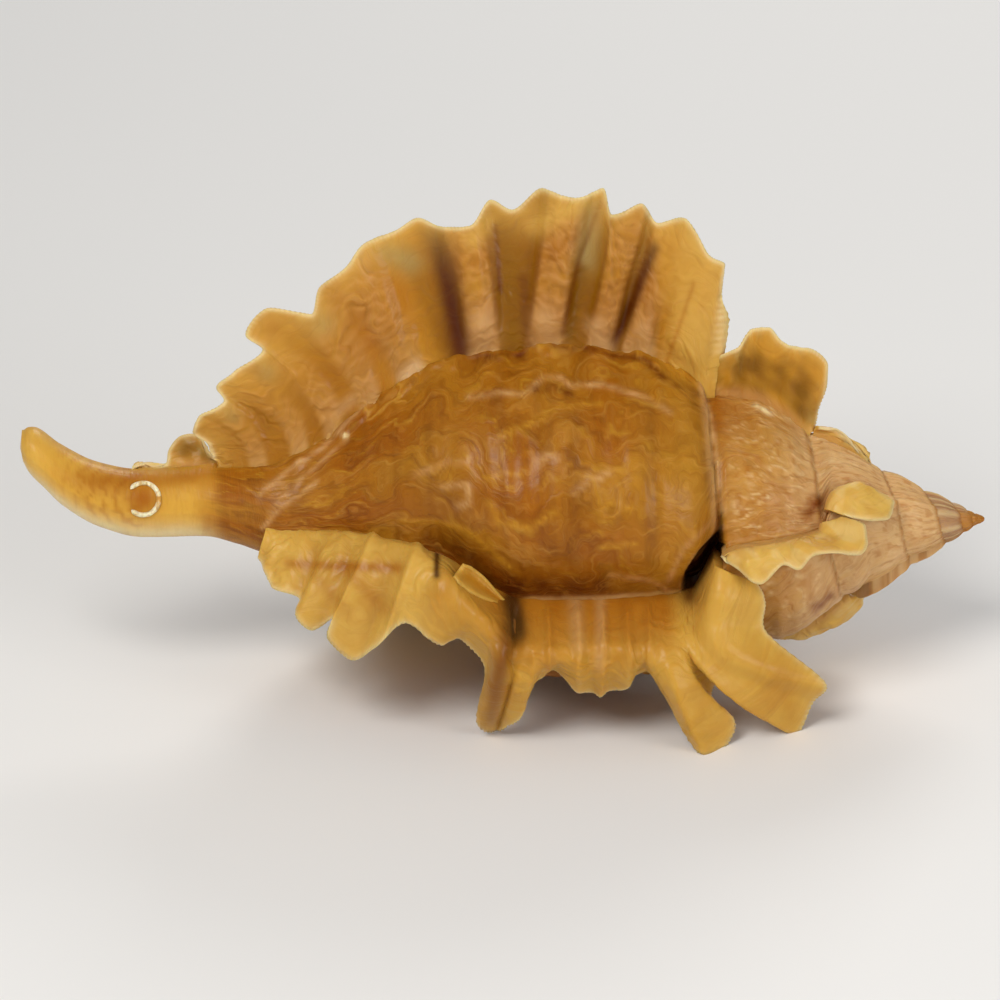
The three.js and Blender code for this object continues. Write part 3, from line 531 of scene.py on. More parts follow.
def growth_relief(x, angle, part, turn, below, since, until, radius, canal_part):
    """Fine relief added to the smooth radius: growth ridges, cords, threads and ribs."""
    grow = (1 - part - turn) * RELIEF_PER_TURN
    size = np.clip(radius / 14, 0.12, 1)
    ridge, bent = growth_ridges(grow, x, 2.1, 0.24)
    relief = (0.10 * ridge + 0.07 * BROAD(grow, x) + 0.03 * CRINKLE(bent, x * 0.3)) * size
    relief += 0.05 * CORD(x, grow * 0.04) * size
    out = relief * mix(1.0, 0.4, canal_part)
    thread = 0.30 * bell((below - 0.35) / 0.30)
    out += thread * np.clip(radius / 12, 0.08, 1)
    on_front = smooth(1, 4, radius * np.cos(np.radians(angle)))
    q = curve(CENTRE_Q, x) + radius * np.sin(np.radians(angle))
    for height, width, _, _, line in BODY_MARKS:
        if height:
            uneven = 0.5 + 0.25 * CRINKLE(x * 1.3, q * 1.3)
            out += height * uneven * near_line(x, q, line, width * 0.8) * on_front
    # the scalloped ledge where the lip wing starts
    scallop = 1.3 + 0.55 * np.sin(x * 1.32 + 0.6) + 0.25 * np.sin(x * 2.9)
    on_lip = (part < SECOND[1] + 0.01) * (turn == 0) * smooth(-24, -14, x)
    out += on_lip * 0.30 * (1 - smooth(-0.25, 0.25, until - scallop))
    out += on_lip * curve(SCALLOPS, x) * np.exp(-until / 1.6)
    out -= CRESCENT_DEPTH * crescent(x, angle, part, turn, radius)
    # thread where new growth starts inside an old lip
    mm_since = np.radians(since) * radius
    out += 0.26 * bell((mm_since - 0.6) / 0.35) * (part < 0.99) * size
    # axial ribs of the first whorls
    ribs = np.cos(2 * math.pi * RIBS_PER_TURN * (part + turn))
    out += 0.05 * radius * np.clip(ribs, -0.4, 1) * smooth(3.3, 3.9, part + turn)
    lamina = growth_ridges(grow * 1.9, x * 1.6, 1.6, 0.34)[0]
    spire = smooth(20.8, 22, x) * (turn >= 1)
    out += 0.10 * lamina * spire * np.clip(radius / 8, 0.15, 1)
    return out, bent, mix(ridge, lamina, spire)


# Columns of points in each sector, by the part of a turn it ends at.
COLUMNS = {0.0: 116, THIRD[1]: 78, SECOND[1]: 68}


def build_body():
    """Whorls, spire and canal as one closed mesh."""
    x = stations(1.0)
    blocks = []
    for sector in SECTORS:
        angle, part, turn, below, since, until, radius, canal_part = body_radius(x, sector)
        column_x = np.broadcast_to(x[:, None], angle.shape)
        canal_amount = smooth(-21, -26, column_x)
        relief, grow, ridge = growth_relief(column_x, angle, part, turn, below, since, until,
                                            radius, canal_amount)
        points = on_shell(column_x, angle, radius + relief)
        blocks.append(dict(points=points, x=column_x, angle=angle, part=part, turn=turn,
                           below=below, since=since, until=until, radius=radius,
                           ridge=ridge, grow=grow))
    field = {key: np.concatenate([b[key] for b in blocks], 1) for key in blocks[0]}
    rows, ring = field["x"].shape
    tone = body_tone(field)
    gloss = np.ones((rows, ring))
    canal = smooth(-22, -27, field["x"])
    skin = np.stack([mix(field["grow"], field["x"] * 1.3, canal),
                     mix(field["x"], np.radians(field["angle"]) * 3, canal), 1 - canal], -1)
    points = field["points"].reshape(-1, 3)
    ends = np.array([[APEX_X, 0, 0], on_shell(CANAL_END_X - 0.25, 0.0, 0.0)])
    faces = tube_faces(rows, ring)
    apex, tip, last = rows * ring, rows * ring + 1, (rows - 1) * ring
    for j in range(ring):
        faces.append((apex, (j + 1) % ring, j))
        faces.append((tip, last + j, last + (j + 1) % ring))
    tone = np.concatenate([tone.reshape(-1, 3), [ORANGE_TIP], [CREAM]])
    skin = np.concatenate([skin.reshape(-1, 3), np.zeros((2, 3))])
    gloss = np.concatenate([gloss.ravel(), [1, 1]])
    return make_mesh("shell_body", np.concatenate([points, ends]), faces, tone, skin, gloss)


def body_tone(f):
    """Paint of the whorls and canal."""
    x, q, p = f["x"], f["points"][..., 2], f["points"][..., 1]
    grow, ridge = f["grow"], f["ridge"]
    turns = f["part"] + f["turn"]
    tone = np.broadcast_to(np.array(AMBER), x.shape + (3,)).copy()
    tone = paint(tone, HONEY, 0.22 + 0.24 * BROAD(grow * 0.8, x * 0.5))
    tone = paint(tone, DEEP_AMBER, 0.20 * smooth(0.0, 1.6, PATCH(grow, x * 0.6)))
    tone = paint(tone, DEEP_AMBER, 0.16 * smooth(0.2, 1.4, CORD(x, grow * 0.03)))
    tone = paint(tone, HONEY, 0.80 * ridge)
    tone = paint(tone, DEEP_AMBER, 0.30 * smooth(0.5, 1.5, CRINKLE(grow, x * 0.35)))
    # darker growth towards the second wing, and its edge
    since_mm = np.radians(f["since"]) * f["radius"]
    starting = (f["part"] < SECOND[1] + 0.001) * (f["turn"] == 0)
    low_band = starting * np.exp(-since_mm / 3.5) * smooth(-14, -4, x)
    tone = paint(tone, DEEP_AMBER, 0.75 * low_band)
    whorl = smooth(-26, -22, x) * (1 - smooth(20, 21, x))
    tone = tone * mix(1.0, 0.90, whorl)[..., None]
    on_body = smooth(1.5, 3.5, x)
    tone = paint(tone, PINK_TAN, 0.85 * starting * on_body * bell((since_mm - 0.9) / 0.42))
    tone = paint(tone, HONEY, 0.45 * smooth(9, 17, x) * (f["turn"] == 0))
    thread = bell((f["below"] - 0.35) / 0.34) * (f["turn"] == 0)
    tone = paint(tone, PINK_TAN, 0.75 * thread)
    # spire: paler and pinker towards the apex
    spire = smooth(20.2, 22.5, x) * (f["turn"] >= 1)
    tone = paint(tone, HONEY, spire * 0.40)
    tone = paint(tone, SPIRE_TAN, spire * mix(0.20, 1.0, smooth(24, 32, x)))
    tone = paint(tone, SPIRE_PALE, spire * f["ridge"] * 0.7)
    tone = paint(tone, AMBER, 0.45 * spire * smooth(0.4, 1.5, CRINKLE(grow, x)))
    tone = paint(tone, ROSE, 0.35 * spire * smooth(0.2, 1.3, PATCH(grow * 1.5, x)))
    tone = paint(tone, MAUVE, 0.80 * smooth(3.75, 4.0, turns))
    ribs = np.clip(np.cos(2 * math.pi * RIBS_PER_TURN * turns), 0, 1)
    tone = paint(tone, PALE, 0.40 * ribs * smooth(3.5, 4.0, turns) * (1 - smooth(5.2, 5.6, turns)))
    tone = paint(tone, ORANGE_TIP, 0.9 * smooth(5.0, 5.5, turns))
    tone = paint(tone, AMBER, 0.6 * bell(f["below"] / 0.25) * (f["turn"] >= 1))
    # canal: yellow shaft with arcs, cream underside flange
    canal = smooth(-25.5, -29, x)
    tone = paint(tone, CANAL_YELLOW, canal)
    arc = np.hypot(x - RING_X, q - RING_Q)
    bands = np.cos(2 * math.pi * arc / 1.25 + CRINKLE(x, q)) * (x < RING_X)
    tone = paint(tone, AMBER, canal * 0.50 * np.clip(bands, 0, 1) * smooth(-43, -38, x))
    tone = paint(tone, AMBER, canal * 0.75 * bell((q - CANAL_TOP_Q - 0.12 * (x + 34) ** 2 / 10)
                                                 / 1.1) * smooth(-43, -37, x))
    tone = paint(tone, AMBER, canal * bell((arc - 0.2) / 1.25) * (p > 0))
    under = bell((np.mod(f["angle"] + 180, 360) - 116) / 24)
    tone = paint(tone, PALE, canal * 0.90 * under * smooth(-19, -31, x))
    tone = paint(tone, CREAM, 0.6 * smooth(-41.5, -44.5, x))
    front = smooth(0, 3, p)
    for _, width, colour, strength, line in BODY_MARKS:
        uneven = 0.85 + 0.25 * CRINKLE(x * 1.3, q * 1.3)
        tone = paint(tone, colour, strength * uneven * near_line(x, q, line, width) * front)
    # painted shade: the crescent hollow beside the second wing's spine is dented in and painted
    # near-black
    hollow = crescent(x, f["angle"], f["part"], f["turn"], f["radius"])
    tone = paint(tone, RECESS_SHADE, hollow)
    # callus of the inner lip, around the aperture
    beside = smooth(17, 11, np.abs(x - APERTURE_X))
    inner = (f["part"] > THIRD[1] + 0.001) * (f["turn"] == 0) * np.exp(-f["since"] / 14)
    outer = (f["part"] < 0.01) * (f["turn"] == 0) * bell(f["until"] / 0.18)
    return paint(tone, CALLUS, beside * np.maximum(inner, outer))


# ---- wings ----
def round_curve(values, at):
    """Rounded curve through evenly numbered values."""
    ends = [2 * values[0] - values[1]], [2 * values[-1] - values[-2]]
    v = np.concatenate([ends[0], values, ends[1]])
    i = np.clip(at.astype(int), 0, len(values) - 2)
    t = (at - i)[:, None] if v.ndim > 1 else at - i
    a, b, c, d = v[i], v[i + 1], v[i + 2], v[i + 3]
    return b + t * ((c - a) / 2 + t * ((2 * a - 5 * b + 4 * c - d) / 2
                                      + t * (3 * b - a - 3 * c + d) / 2))


def wing_grid(rows, on, flutes, along, depth, dip, sharp):
    """Mid-surface of a wing with its frill, and the coordinates it is painted by."""
    line, part = on
    table = np.asarray(rows, float)
    at = np.linspace(0, len(rows) - 1, along)
    index = np.arange(len(rows))
    root_x = curve(np.stack([index, table[:, 0]], 1), at)
    if sharp:
        rim = np.stack([curve(np.stack([index, table[:, k]], 1), at) for k in (1, 2, 3)], -1)
    else:
        rim = round_curve(table[:, 1:], at)
    angle = curve(line, root_x)
    whorl = whorl_state(APEX_X - root_x, np.full(along, part))[0]
    outer = np.maximum(whorl + flare_height(whorl), curve(CANAL_RADIUS, root_x) + 0.3)
    inner = on_shell(root_x, angle, outer * (1 - dip) - 0.8)
    corner = on_shell(root_x, angle, outer)
    out = np.stack([np.zeros(along), np.cos(np.radians(angle)), np.sin(np.radians(angle))], -1)
    reach = np.linalg.norm(rim - corner, axis=1)
    bend = corner + 0.42 * reach[:, None] * out
    t = np.linspace(0, 1, depth)[None, :]
    u = np.clip((t - WING_EDGE) / (1 - WING_EDGE), 0, 1)[..., None]
    low = mix(inner[:, None], corner[:, None], np.clip(t / WING_EDGE, 0, 1)[..., None])
    high = (1 - u) ** 2 * corner[:, None] + 2 * u * (1 - u) * bend[:, None] + u * u * rim[:, None]
    grid = np.where(t[..., None] < WING_EDGE, low, high)
    lift = np.zeros((along, depth))
    rib = np.zeros((along, depth))
    for x, half, height, lean in flutes:
        shape = flat if abs(height) > 0.85 else bell
        profile = shape((root_x[:, None] - x - lean * u[..., 0]) / (half * (1 + 0.2 * u[..., 0])))
        lift += height * profile
        rib += np.sign(height) * profile
    return grid, root_x, t[0], lift, rib, reach


def unit(v):
    """Vectors scaled to length 1."""
    return v / (np.linalg.norm(v, axis=-1, keepdims=True) + 1e-12)


def blur(grid, width):
    """Running mean along a grid's first axis."""
    padded = np.concatenate([grid[:1]] * width + [grid] + [grid[-1:]] * width)
    total = np.cumsum(np.concatenate([padded[:1] * 0, padded]), axis=0)
    return (total[2 * width + 1:] - total[:-2 * width - 1]) / (2 * width + 1)


def rim_distance(grid):
    """Distance in mm of each point of a wing from its rim."""
    rim = grid[::2, -1]
    away = [np.linalg.norm(grid[:, j, None] - rim[None], axis=-1).min(1)
            for j in range(grid.shape[1])]
    return np.stack(away, 1)


def tube_faces(rings, sides):
    """Faces around a tube of rings, open at both ends."""
    a = np.arange(rings - 1)[:, None] * sides + np.arange(sides)[None, :]
    b = np.arange(rings - 1)[:, None] * sides + (np.arange(sides)[None, :] + 1) % sides
    return np.stack([a, b, b + sides, a + sides], -1).reshape(-1, 4).tolist()


def sheet_faces(along, depth):
    """Faces of a thin closed sheet: two grids of points and the border between them."""
    a = np.arange(along - 1)[:, None] * depth + np.arange(depth - 1)[None, :]
    quad = np.stack([a, a + depth, a + depth + 1, a + 1], -1).reshape(-1, 4)
    other = along * depth
    faces = quad.tolist() + (quad[:, ::-1] + other).tolist()
    end = (along - 1) * depth
    border = [i * depth for i in range(along)] + [end + j for j in range(1, depth)]
    border += [i * depth + depth - 1 for i in range(along - 2, -1, -1)]
    border += list(range(depth - 2, 0, -1))
    for here, after in zip(border, border[1:] + border[:1]):
        faces.append((after, here, here + other, after + other))
    return faces


def build_wing(name, rows, on, flutes, along, depth, dip, painter, frill=0.25,
               thick=(WING_ROOT_THICK, WING_RIM_THICK), sharp=False, folds=()):
    """A fluted wing as one thin closed piece, its root buried in the body."""
    grid, root_x, t, lift, rib, reach = wing_grid(rows, on, flutes, along, depth, dip, sharp)
    above = np.clip((t - WING_EDGE) / (1 - WING_EDGE), 0, 1)[None, :] + 0 * reach[:, None]
    steps = np.linalg.norm(np.diff(grid, axis=1), axis=-1)
    path = np.concatenate([np.zeros((along, 1)), np.cumsum(steps, 1)], 1)
    corner = np.array([np.interp(WING_EDGE, t, row) for row in path])
    outward = path - corner[:, None]
    column = root_x[:, None] + 0 * above
    normal = unit(np.cross(np.gradient(grid, axis=0), np.gradient(grid, axis=1)))
    normal = unit(blur(normal, along // 28))
    rise = smooth(WING_EDGE - 0.02, WING_EDGE + 0.16, t)[None, :]
    ridge, bent = growth_ridges(outward + 0.05 * column, column, 1.7, 0.3)
    ruffle = CRINKLE(column, outward * 0.12) * frill * rise * (0.4 + 0.6 * above)
    growth = 0.05 * ridge + 0.035 * TINY(bent, column * 0.12)
    shift = lift * rise + ruffle + growth * smooth(0.05, 0.2, t)[None, :]
    for x, wide, height in folds:
        shift -= height * bell((column - x) / wide) * smooth(0.02, 0.15, t)[None, :]
    rim_mm = rim_distance(grid)
    half = mix(thick[0], thick[1], np.clip(above * 1.15, 0, 1)) / 2
    half = half * np.sqrt(np.clip(rim_mm / 0.25 + 0.03, 0, 1))
    sides = [grid + normal * (side * half + shift)[..., None] for side in (1, -1)]
    spots = dict(x=column, above=above, outward=outward, rim=rim_mm, bent=bent, ridge=ridge,
                 rib=rib)
    tones = [painter(points, spots, is_back) for points, is_back in zip(sides, (True, False))]
    faces = sheet_faces(along, depth)
    points = np.concatenate([side.reshape(-1, 3) for side in sides])
    tone = np.concatenate([side.reshape(-1, 3) for side in tones])
    skin = np.stack([bent + 40, column, np.zeros_like(column)], -1).reshape(-1, 3)
    return make_mesh(name, points, faces, tone, np.concatenate([skin, skin]),
                     np.concatenate([rim_mm.ravel()] * 2))


def rim_paint(tone, rim_mm, wide, narrow):
    """Cream towards the rim and a pale line at its edge: partly the shell's paler thin edge,
    partly painted glow and highlight of light on the thin rim.
    """
    tone = paint(tone, CREAM, 0.75 * np.exp(-rim_mm / wide))
    return paint(tone, PALE, 0.55 * np.exp(-(rim_mm / narrow) ** 2))


def lip_tone(points, at, is_back):
    """Lip wing: ribs and channels on the back, cream inside."""
    x, q = points[..., 0], points[..., 2]
    column, above, outward, rib = at["x"], at["above"], at["outward"], at["rib"]
    tone = np.broadcast_to(np.array(AMBER), x.shape + (3,)).copy()
    if not is_back:
        tone = paint(tone, CREAM, 0.75 + 0.12 * TINY(at["bent"], column * 0.15))
        tone = paint(tone, THROAT, 0.8 * np.exp(-np.maximum(outward, 0) / 4.0))
        tone = paint(tone, AMBER, 0.30 * np.clip(rib, 0, 1) * smooth(0.1, 0.5, above))
        return rim_paint(tone, at["rim"], 1.2, 0.35)
    crest = smooth(0.2, 0.8, rib)
    flank_shade = 4 * crest * (1 - crest)
    bands = TINY(at["bent"], column * 0.12)
    middle = smooth(-6.0, -3.2, column) * (1 - smooth(14.8, 16, column))
    wobble = 0.35 * CRINKLE(column * 0.8, outward * 0.5)
    steps = 0.5 + 0.5 * np.cos(2 * math.pi * (outward + wobble) / BAND_SPACING)
    tone = paint(tone, HONEY, 0.24 + 0.18 * BROAD(column, outward))
    # channels between the ribs darker: partly the shell's own olive, partly painted shade
    tone = paint(tone, OLIVE, 0.72 * (1 - crest) * middle)
    tone = paint(tone, HONEY, crest * 0.25)
    tone = paint(tone, ROSE, crest * (0.30 * smooth(0.0, 1.2, bands) + 0.34 * steps ** 2))
    tone = paint(tone, DEEP_AMBER, crest * (0.24 * smooth(0.2, 1.4, -bands) + 0.22 * (1 - steps)))
    # painted shade on the sides of the ribs
    tone = paint(tone, DEEP_AMBER, flank_shade * middle * 0.50 * smooth(1.5, 4, outward))
    tone = paint(tone, PINK_TAN, crest * 0.65 * np.exp(-np.maximum(outward, 0) / 3.0))
    tone = paint(tone, HONEY, smooth(-8, -14, column) * (0.20 + 0.25 * smooth(0, 1, above)))
    tone = paint(tone, HONEY, 0.45 * bell((column + 6.2) / 2.4))
    tone = paint(tone, OLIVE, 0.30 * smooth(-10, -16, column) * (1 - crest))
    tone = paint(tone, HONEY, smooth(14.5, 16.5, column) * 0.70)
    tone = paint(tone, CREAM, smooth(15.5, 18.5, column) * 0.50)
    tone = paint(tone, HONEY, 0.30 * at["ridge"] * crest)
    for width, colour, strength, line in LIP_MARKS:
        tone = paint(tone, colour, strength * near_line(x, q, line, width))
    return rim_paint(tone, at["rim"], 1.7, 0.35)


def second_tone(points, at, is_back):
    """Side wings: cream-yellow lobes, amber at the root."""
    x, p, q = points[..., 0], points[..., 1], points[..., 2]
    column, above, outward = at["x"], at["above"], at["outward"]
    fold = np.clip(np.abs(at["rib"]), 0, 1)
    bands = TINY(at["bent"], column * 0.12)
    tone = np.broadcast_to(np.array(HONEY), x.shape + (3,)).copy()
    if is_back:
        tone = paint(tone, OLIVE, 0.50 * (1 - fold))
        tone = paint(tone, AMBER, 0.40 + 0.2 * bands)
        # painted shade: grey-green patches where the thin wing lets darkness behind it show
        # through
        tone = paint(tone, GREY_GREEN_SHADE, 0.5 * smooth(0.3, 1.4, PATCH(column, outward)) * above)
        return rim_paint(tone, at["rim"], 1.5, 0.4)
    frilly = smooth(-3, -7, column)
    tone = paint(tone, CREAM, 0.24 + 0.08 * bands + 0.56 * frilly)
    tone = paint(tone, AMBER, 0.30 * smooth(0.2, 1.4, BROAD(column, outward)) * (1 - frilly))
    root = smooth(3.0, -2.5, outward) * smooth(-6, 0, column) * (1 - smooth(15, 17, column))
    tone = paint(tone, AMBER, 0.85 * root)
    tone = paint(tone, CREAM, 0.45 * smooth(15, 18, column) * smooth(8, 2, outward))
    tone = paint(tone, AMBER, 0.30 * fold * smooth(0.0, 0.5, above) * smooth(-2, -6, column))
    for width, colour, strength, line in SECOND_MARKS:
        tone = paint(tone, colour, strength * near_line(x, q, line, width) * (p > 0))
    return rim_paint(tone, at["rim"], 2.1, 0.4)


def small_tone(points, at, is_back):
    """Wings of the spire: olive backs with grey edges, cream fronts."""
    column, outward = at["x"], at["outward"]
    spots = PATCH(points[..., 0] * 1.6, points[..., 2] * 1.6)
    tone = np.broadcast_to(np.array(HONEY), column.shape + (3,)).copy()
    if is_back:
        tone = paint(tone, OLIVE, 0.85 * bell((outward - 2.6) / 1.9) + 0.20 * spots)
        tone = paint(tone, ROSE, 0.7 * smooth(1.4, 0.0, outward))
        # painted shade: grey-green near the rim where the thin wing lets darkness behind it show
        # through
        grey = smooth(0.1, 1.2, spots) * smooth(1.2, 0.2, at["rim"])
        tone = paint(tone, GREY_GREEN_SHADE, 0.9 * grey)
        return rim_paint(tone, at["rim"], 0.8, 0.3)
    tone = paint(tone, CREAM, 1.0)
    tone = paint(tone, PALE, 0.25 * smooth(0.2, 1.2, -spots))
    tone = paint(tone, AMBER, 0.22 * smooth(0.2, 1.4, spots))
    tone = paint(tone, ROOT_TAN, 0.85 * smooth(1.0, -0.3, outward))
    return rim_paint(tone, at["rim"], 0.9, 0.3)


# ---- aperture ----
def aperture_tube(offsets, scales, margin, sides, name, colour):
    """Closed tube along the coil with the aperture's oval section; offsets are in degrees."""
    points = []
    for offset, scale in zip(offsets, scales):
        part = max(0.0, -offset) / 360
        size = TURN_SHRINK ** part
        drift = float(curve(SUTURE, 0) - curve(SUTURE, part))
        turn = np.linspace(0, 2 * math.pi, sides, endpoint=False)
        along = (APERTURE_HALF_LENGTH + margin) * scale * np.cos(turn) * size
        out = (APERTURE_HALF_WIDTH + margin) * scale * np.sin(turn) * size
        radius = APERTURE_RADIUS * size + APERTURE_SLOPE * along + out
        x = APERTURE_X + drift + along
        points.append(on_shell(x, curve(LIP_LINE, APERTURE_X) + offset, radius))
    rings = len(points)
    faces = tube_faces(rings, sides)
    centres = [ring.mean(0) for ring in (points[0], points[-1])]
    grid = np.concatenate(points + [np.array(centres)])
    last = (rings - 1) * sides
    for j in range(sides):
        faces.append((rings * sides, (j + 1) % sides, j))
        faces.append((rings * sides + 1, last + j, last + (j + 1) % sides))
    tone = np.broadcast_to(np.array(colour), grid.shape).copy()
    skin = np.stack([np.repeat(np.array(offsets) * 0.3, sides),
                     np.tile(np.arange(sides) * 0.2, rings), np.zeros(rings * sides)], -1)
    skin = np.concatenate([skin, np.zeros((2, 3))])
    return make_mesh(name, grid, faces, tone, skin, np.full(len(grid), 9.0))


def combine(piece, other, operation):
    """Boolean on a piece, with the other part removed afterwards."""
    step = piece.modifiers.new(operation, "BOOLEAN")
    step.operation = operation
    step.solver = "MANIFOLD"
    step.object = other
    graph = bpy.context.evaluated_depsgraph_get()
    made = bpy.data.meshes.new_from_object(piece.evaluated_get(graph))
    piece.modifiers.clear()
    piece.data = made
    bpy.data.objects.remove(other)
    made.polygons.foreach_set("use_smooth", [True] * len(made.polygons))
    made.update()


def paint_cuts(piece, colour):
    """Tone, growth coordinates and rim distance for the points that the booleans made."""
    attributes = piece.data.attributes
    count = len(piece.data.vertices)
    gloss, tone = np.zeros(count), np.zeros(count * 4)
    skin, place = np.zeros(count * 3), np.zeros(count * 3)
    attributes["gloss"].data.foreach_get("value", gloss)
    attributes["tone"].data.foreach_get("color", tone)
    attributes["skin"].data.foreach_get("vector", skin)
    piece.data.vertices.foreach_get("co", place)
    made = gloss < 0.5
    tone, skin = tone.reshape(-1, 4), skin.reshape(-1, 3)
    tone[made, :3] = colour
    skin[made] = place.reshape(-1, 3)[made] * 1000
    skin[made, 2] = 0
    gloss[made] = 9.0
    attributes["gloss"].data.foreach_set("value", gloss)
    attributes["tone"].data.foreach_set("color", tone.ravel())
    attributes["skin"].data.foreach_set("vector", skin.ravel())


# ---- material ----
def shell_material():
    """Glossy shell: the painted tone, with growth lines and grain from procedural noise."""
    mat = bpy.data.materials.new("murex_shell")
    mat.use_nodes = True
    nodes, links = mat.node_tree.nodes, mat.node_tree.links
    nodes.clear()

    def node(kind, **settings):
        made = nodes.new(kind)
        for key, value in settings.items():
            setattr(made, key, value)
        return made

    def join(a, b):
        links.new(a, b)

    def math_node(operation, first, second):
        made = node("ShaderNodeMath", operation=operation)
        for k, value in enumerate((first, second)):
            if isinstance(value, (int, float)):
                made.inputs[k].default_value = value
            else:
                join(value, made.inputs[k])
        return made.outputs[0]

    out = node("ShaderNodeOutputMaterial")
    shade = node("ShaderNodeBsdfPrincipled")
    join(shade.outputs[0], out.inputs[0])
    tone = node("ShaderNodeAttribute", attribute_name="tone")
    skin = node("ShaderNodeAttribute", attribute_name="skin")
    rim = node("ShaderNodeAttribute", attribute_name="gloss")
    place = node("ShaderNodeTexCoord")

    def noise(vector, scale, detail, rough, distortion=0.0, stretch=None):
        if stretch:
            mapping = node("ShaderNodeMapping")
            mapping.inputs["Scale"].default_value = stretch
            join(vector, mapping.inputs["Vector"])
            vector = mapping.outputs[0]
        made = node("ShaderNodeTexNoise")
        made.inputs["Scale"].default_value = scale
        made.inputs["Detail"].default_value = detail
        made.inputs["Roughness"].default_value = rough
        made.inputs["Distortion"].default_value = distortion
        join(vector, made.inputs["Vector"])
        return made.outputs["Fac"]

    def ramp(value, low, high):
        made = node("ShaderNodeMapRange")
        made.inputs["From Min"].default_value = low
        made.inputs["From Max"].default_value = high
        join(value, made.inputs["Value"])
        return made.outputs[0]

    def blend(kind, amount, first, second):
        made = node("ShaderNodeMix", data_type="RGBA", blend_type=kind)
        for socket, value in ((made.inputs[0], amount), (made.inputs[6], first),
                              (made.inputs[7], second)):
            if isinstance(value, (int, float, tuple)):
                socket.default_value = value
            else:
                join(value, socket)
        return made.outputs[2]

    # growth lines: fine across the direction of growth, long and wavy along it
    axes = node("ShaderNodeSeparateXYZ")
    join(skin.outputs["Vector"], axes.inputs[0])
    on_body = math_node("ADD", math_node("MULTIPLY", axes.outputs[2], 0.88), 0.12)
    streaky = math_node("ADD", math_node("MULTIPLY", axes.outputs[2], 0.55), 0.45)
    lines = noise(skin.outputs["Vector"], 1.0, 4.0, 0.55, 0.35, (0.95, 0.24, 1.0))
    fine = noise(skin.outputs["Vector"], 1.0, 3.0, 0.55, 0.5, (2.6, 0.7, 1.0))
    net = noise(skin.outputs["Vector"], 1.0, 3.0, 0.5, 1.2, (0.8, 0.6, 1.0))
    cloud = noise(place.outputs["Object"], 160.0, 4.0, 0.6, 0.4)
    grain = noise(place.outputs["Object"], 1500.0, 3.0, 0.6)
    raised = math_node("MULTIPLY", ramp(lines, 0.52, 0.72), on_body)
    colour = blend("MIX", math_node("MULTIPLY", raised, 0.30),
                   tone.outputs["Color"], (0.60, 0.31, 0.055, 1.0))
    shadow = math_node("MULTIPLY", ramp(lines, 0.48, 0.30), streaky)
    colour = blend("MULTIPLY", math_node("MULTIPLY", shadow, 0.34),
                   colour, (0.62, 0.44, 0.22, 1.0))
    grooves = math_node("MULTIPLY", ramp(fine, 0.50, 0.34), streaky)
    colour = blend("MULTIPLY", math_node("MULTIPLY", grooves, 0.26),
                   colour, (0.72, 0.58, 0.38, 1.0))
    netted = math_node("MULTIPLY", ramp(net, 0.55, 0.70), on_body)
    colour = blend("MIX", math_node("MULTIPLY", netted, 0.09),
                   colour, (0.64, 0.36, 0.09, 1.0))
    colour = blend("MULTIPLY", math_node("MULTIPLY", ramp(cloud, 0.52, 0.34), 0.30),
                   colour, (0.70, 0.54, 0.34, 1.0))
    # paler where the rim is near: partly the shell's paler thin edge, partly painted glow and
    # highlight of light on the thin rim
    edge = math_node("MULTIPLY", ramp(rim.outputs["Fac"], 0.35, 0.0), 0.40)
    colour = blend("MIX", edge, colour, (0.84, 0.68, 0.38, 1.0))
    join(colour, shade.inputs["Base Color"])

    height = math_node("ADD", lines, math_node("MULTIPLY", fine, 0.55))
    height = math_node("ADD", height, math_node("MULTIPLY", grain, 0.12))
    bump = node("ShaderNodeBump")
    bump.inputs["Strength"].default_value = 0.55
    bump.inputs["Distance"].default_value = 0.00016
    join(height, bump.inputs["Height"])
    join(bump.outputs[0], shade.inputs["Normal"])
    rough = node("ShaderNodeMapRange")
    rough.inputs["To Min"].default_value = 0.26
    rough.inputs["To Max"].default_value = 0.48
    join(cloud, rough.inputs["Value"])
    join(rough.outputs[0], shade.inputs["Roughness"])
    shade.inputs["IOR"].default_value = 1.5
    shade.inputs["Specular IOR Level"].default_value = 0.16
    shade.inputs["Subsurface Weight"].default_value = 0.22
    shade.inputs["Subsurface Radius"].default_value = (1.0, 0.45, 0.12)
    shade.inputs["Subsurface Scale"].default_value = 0.0016
    shade.inputs["Coat Weight"].default_value = 0.06
    shade.inputs["Coat Roughness"].default_value = 0.18
    return mat


body = build_body()
rim_ring = aperture_tube([-3, 1.8], [1, 1], PERISTOME_THICK, 96, "rim", PALE)
combine(body, rim_ring, "UNION")
HOLLOW_OFFSETS = [16, 1.8, -14, -30, -46, -62, -76, -84]
HOLLOW_SCALES = [1, 1, 1, 1, 0.95, 0.82, 0.6, 0.35]
hollow = aperture_tube(HOLLOW_OFFSETS, HOLLOW_SCALES, 0.0, 96, "hollow", THROAT)
combine(body, hollow, "DIFFERENCE")
paint_cuts(body, CALLUS)


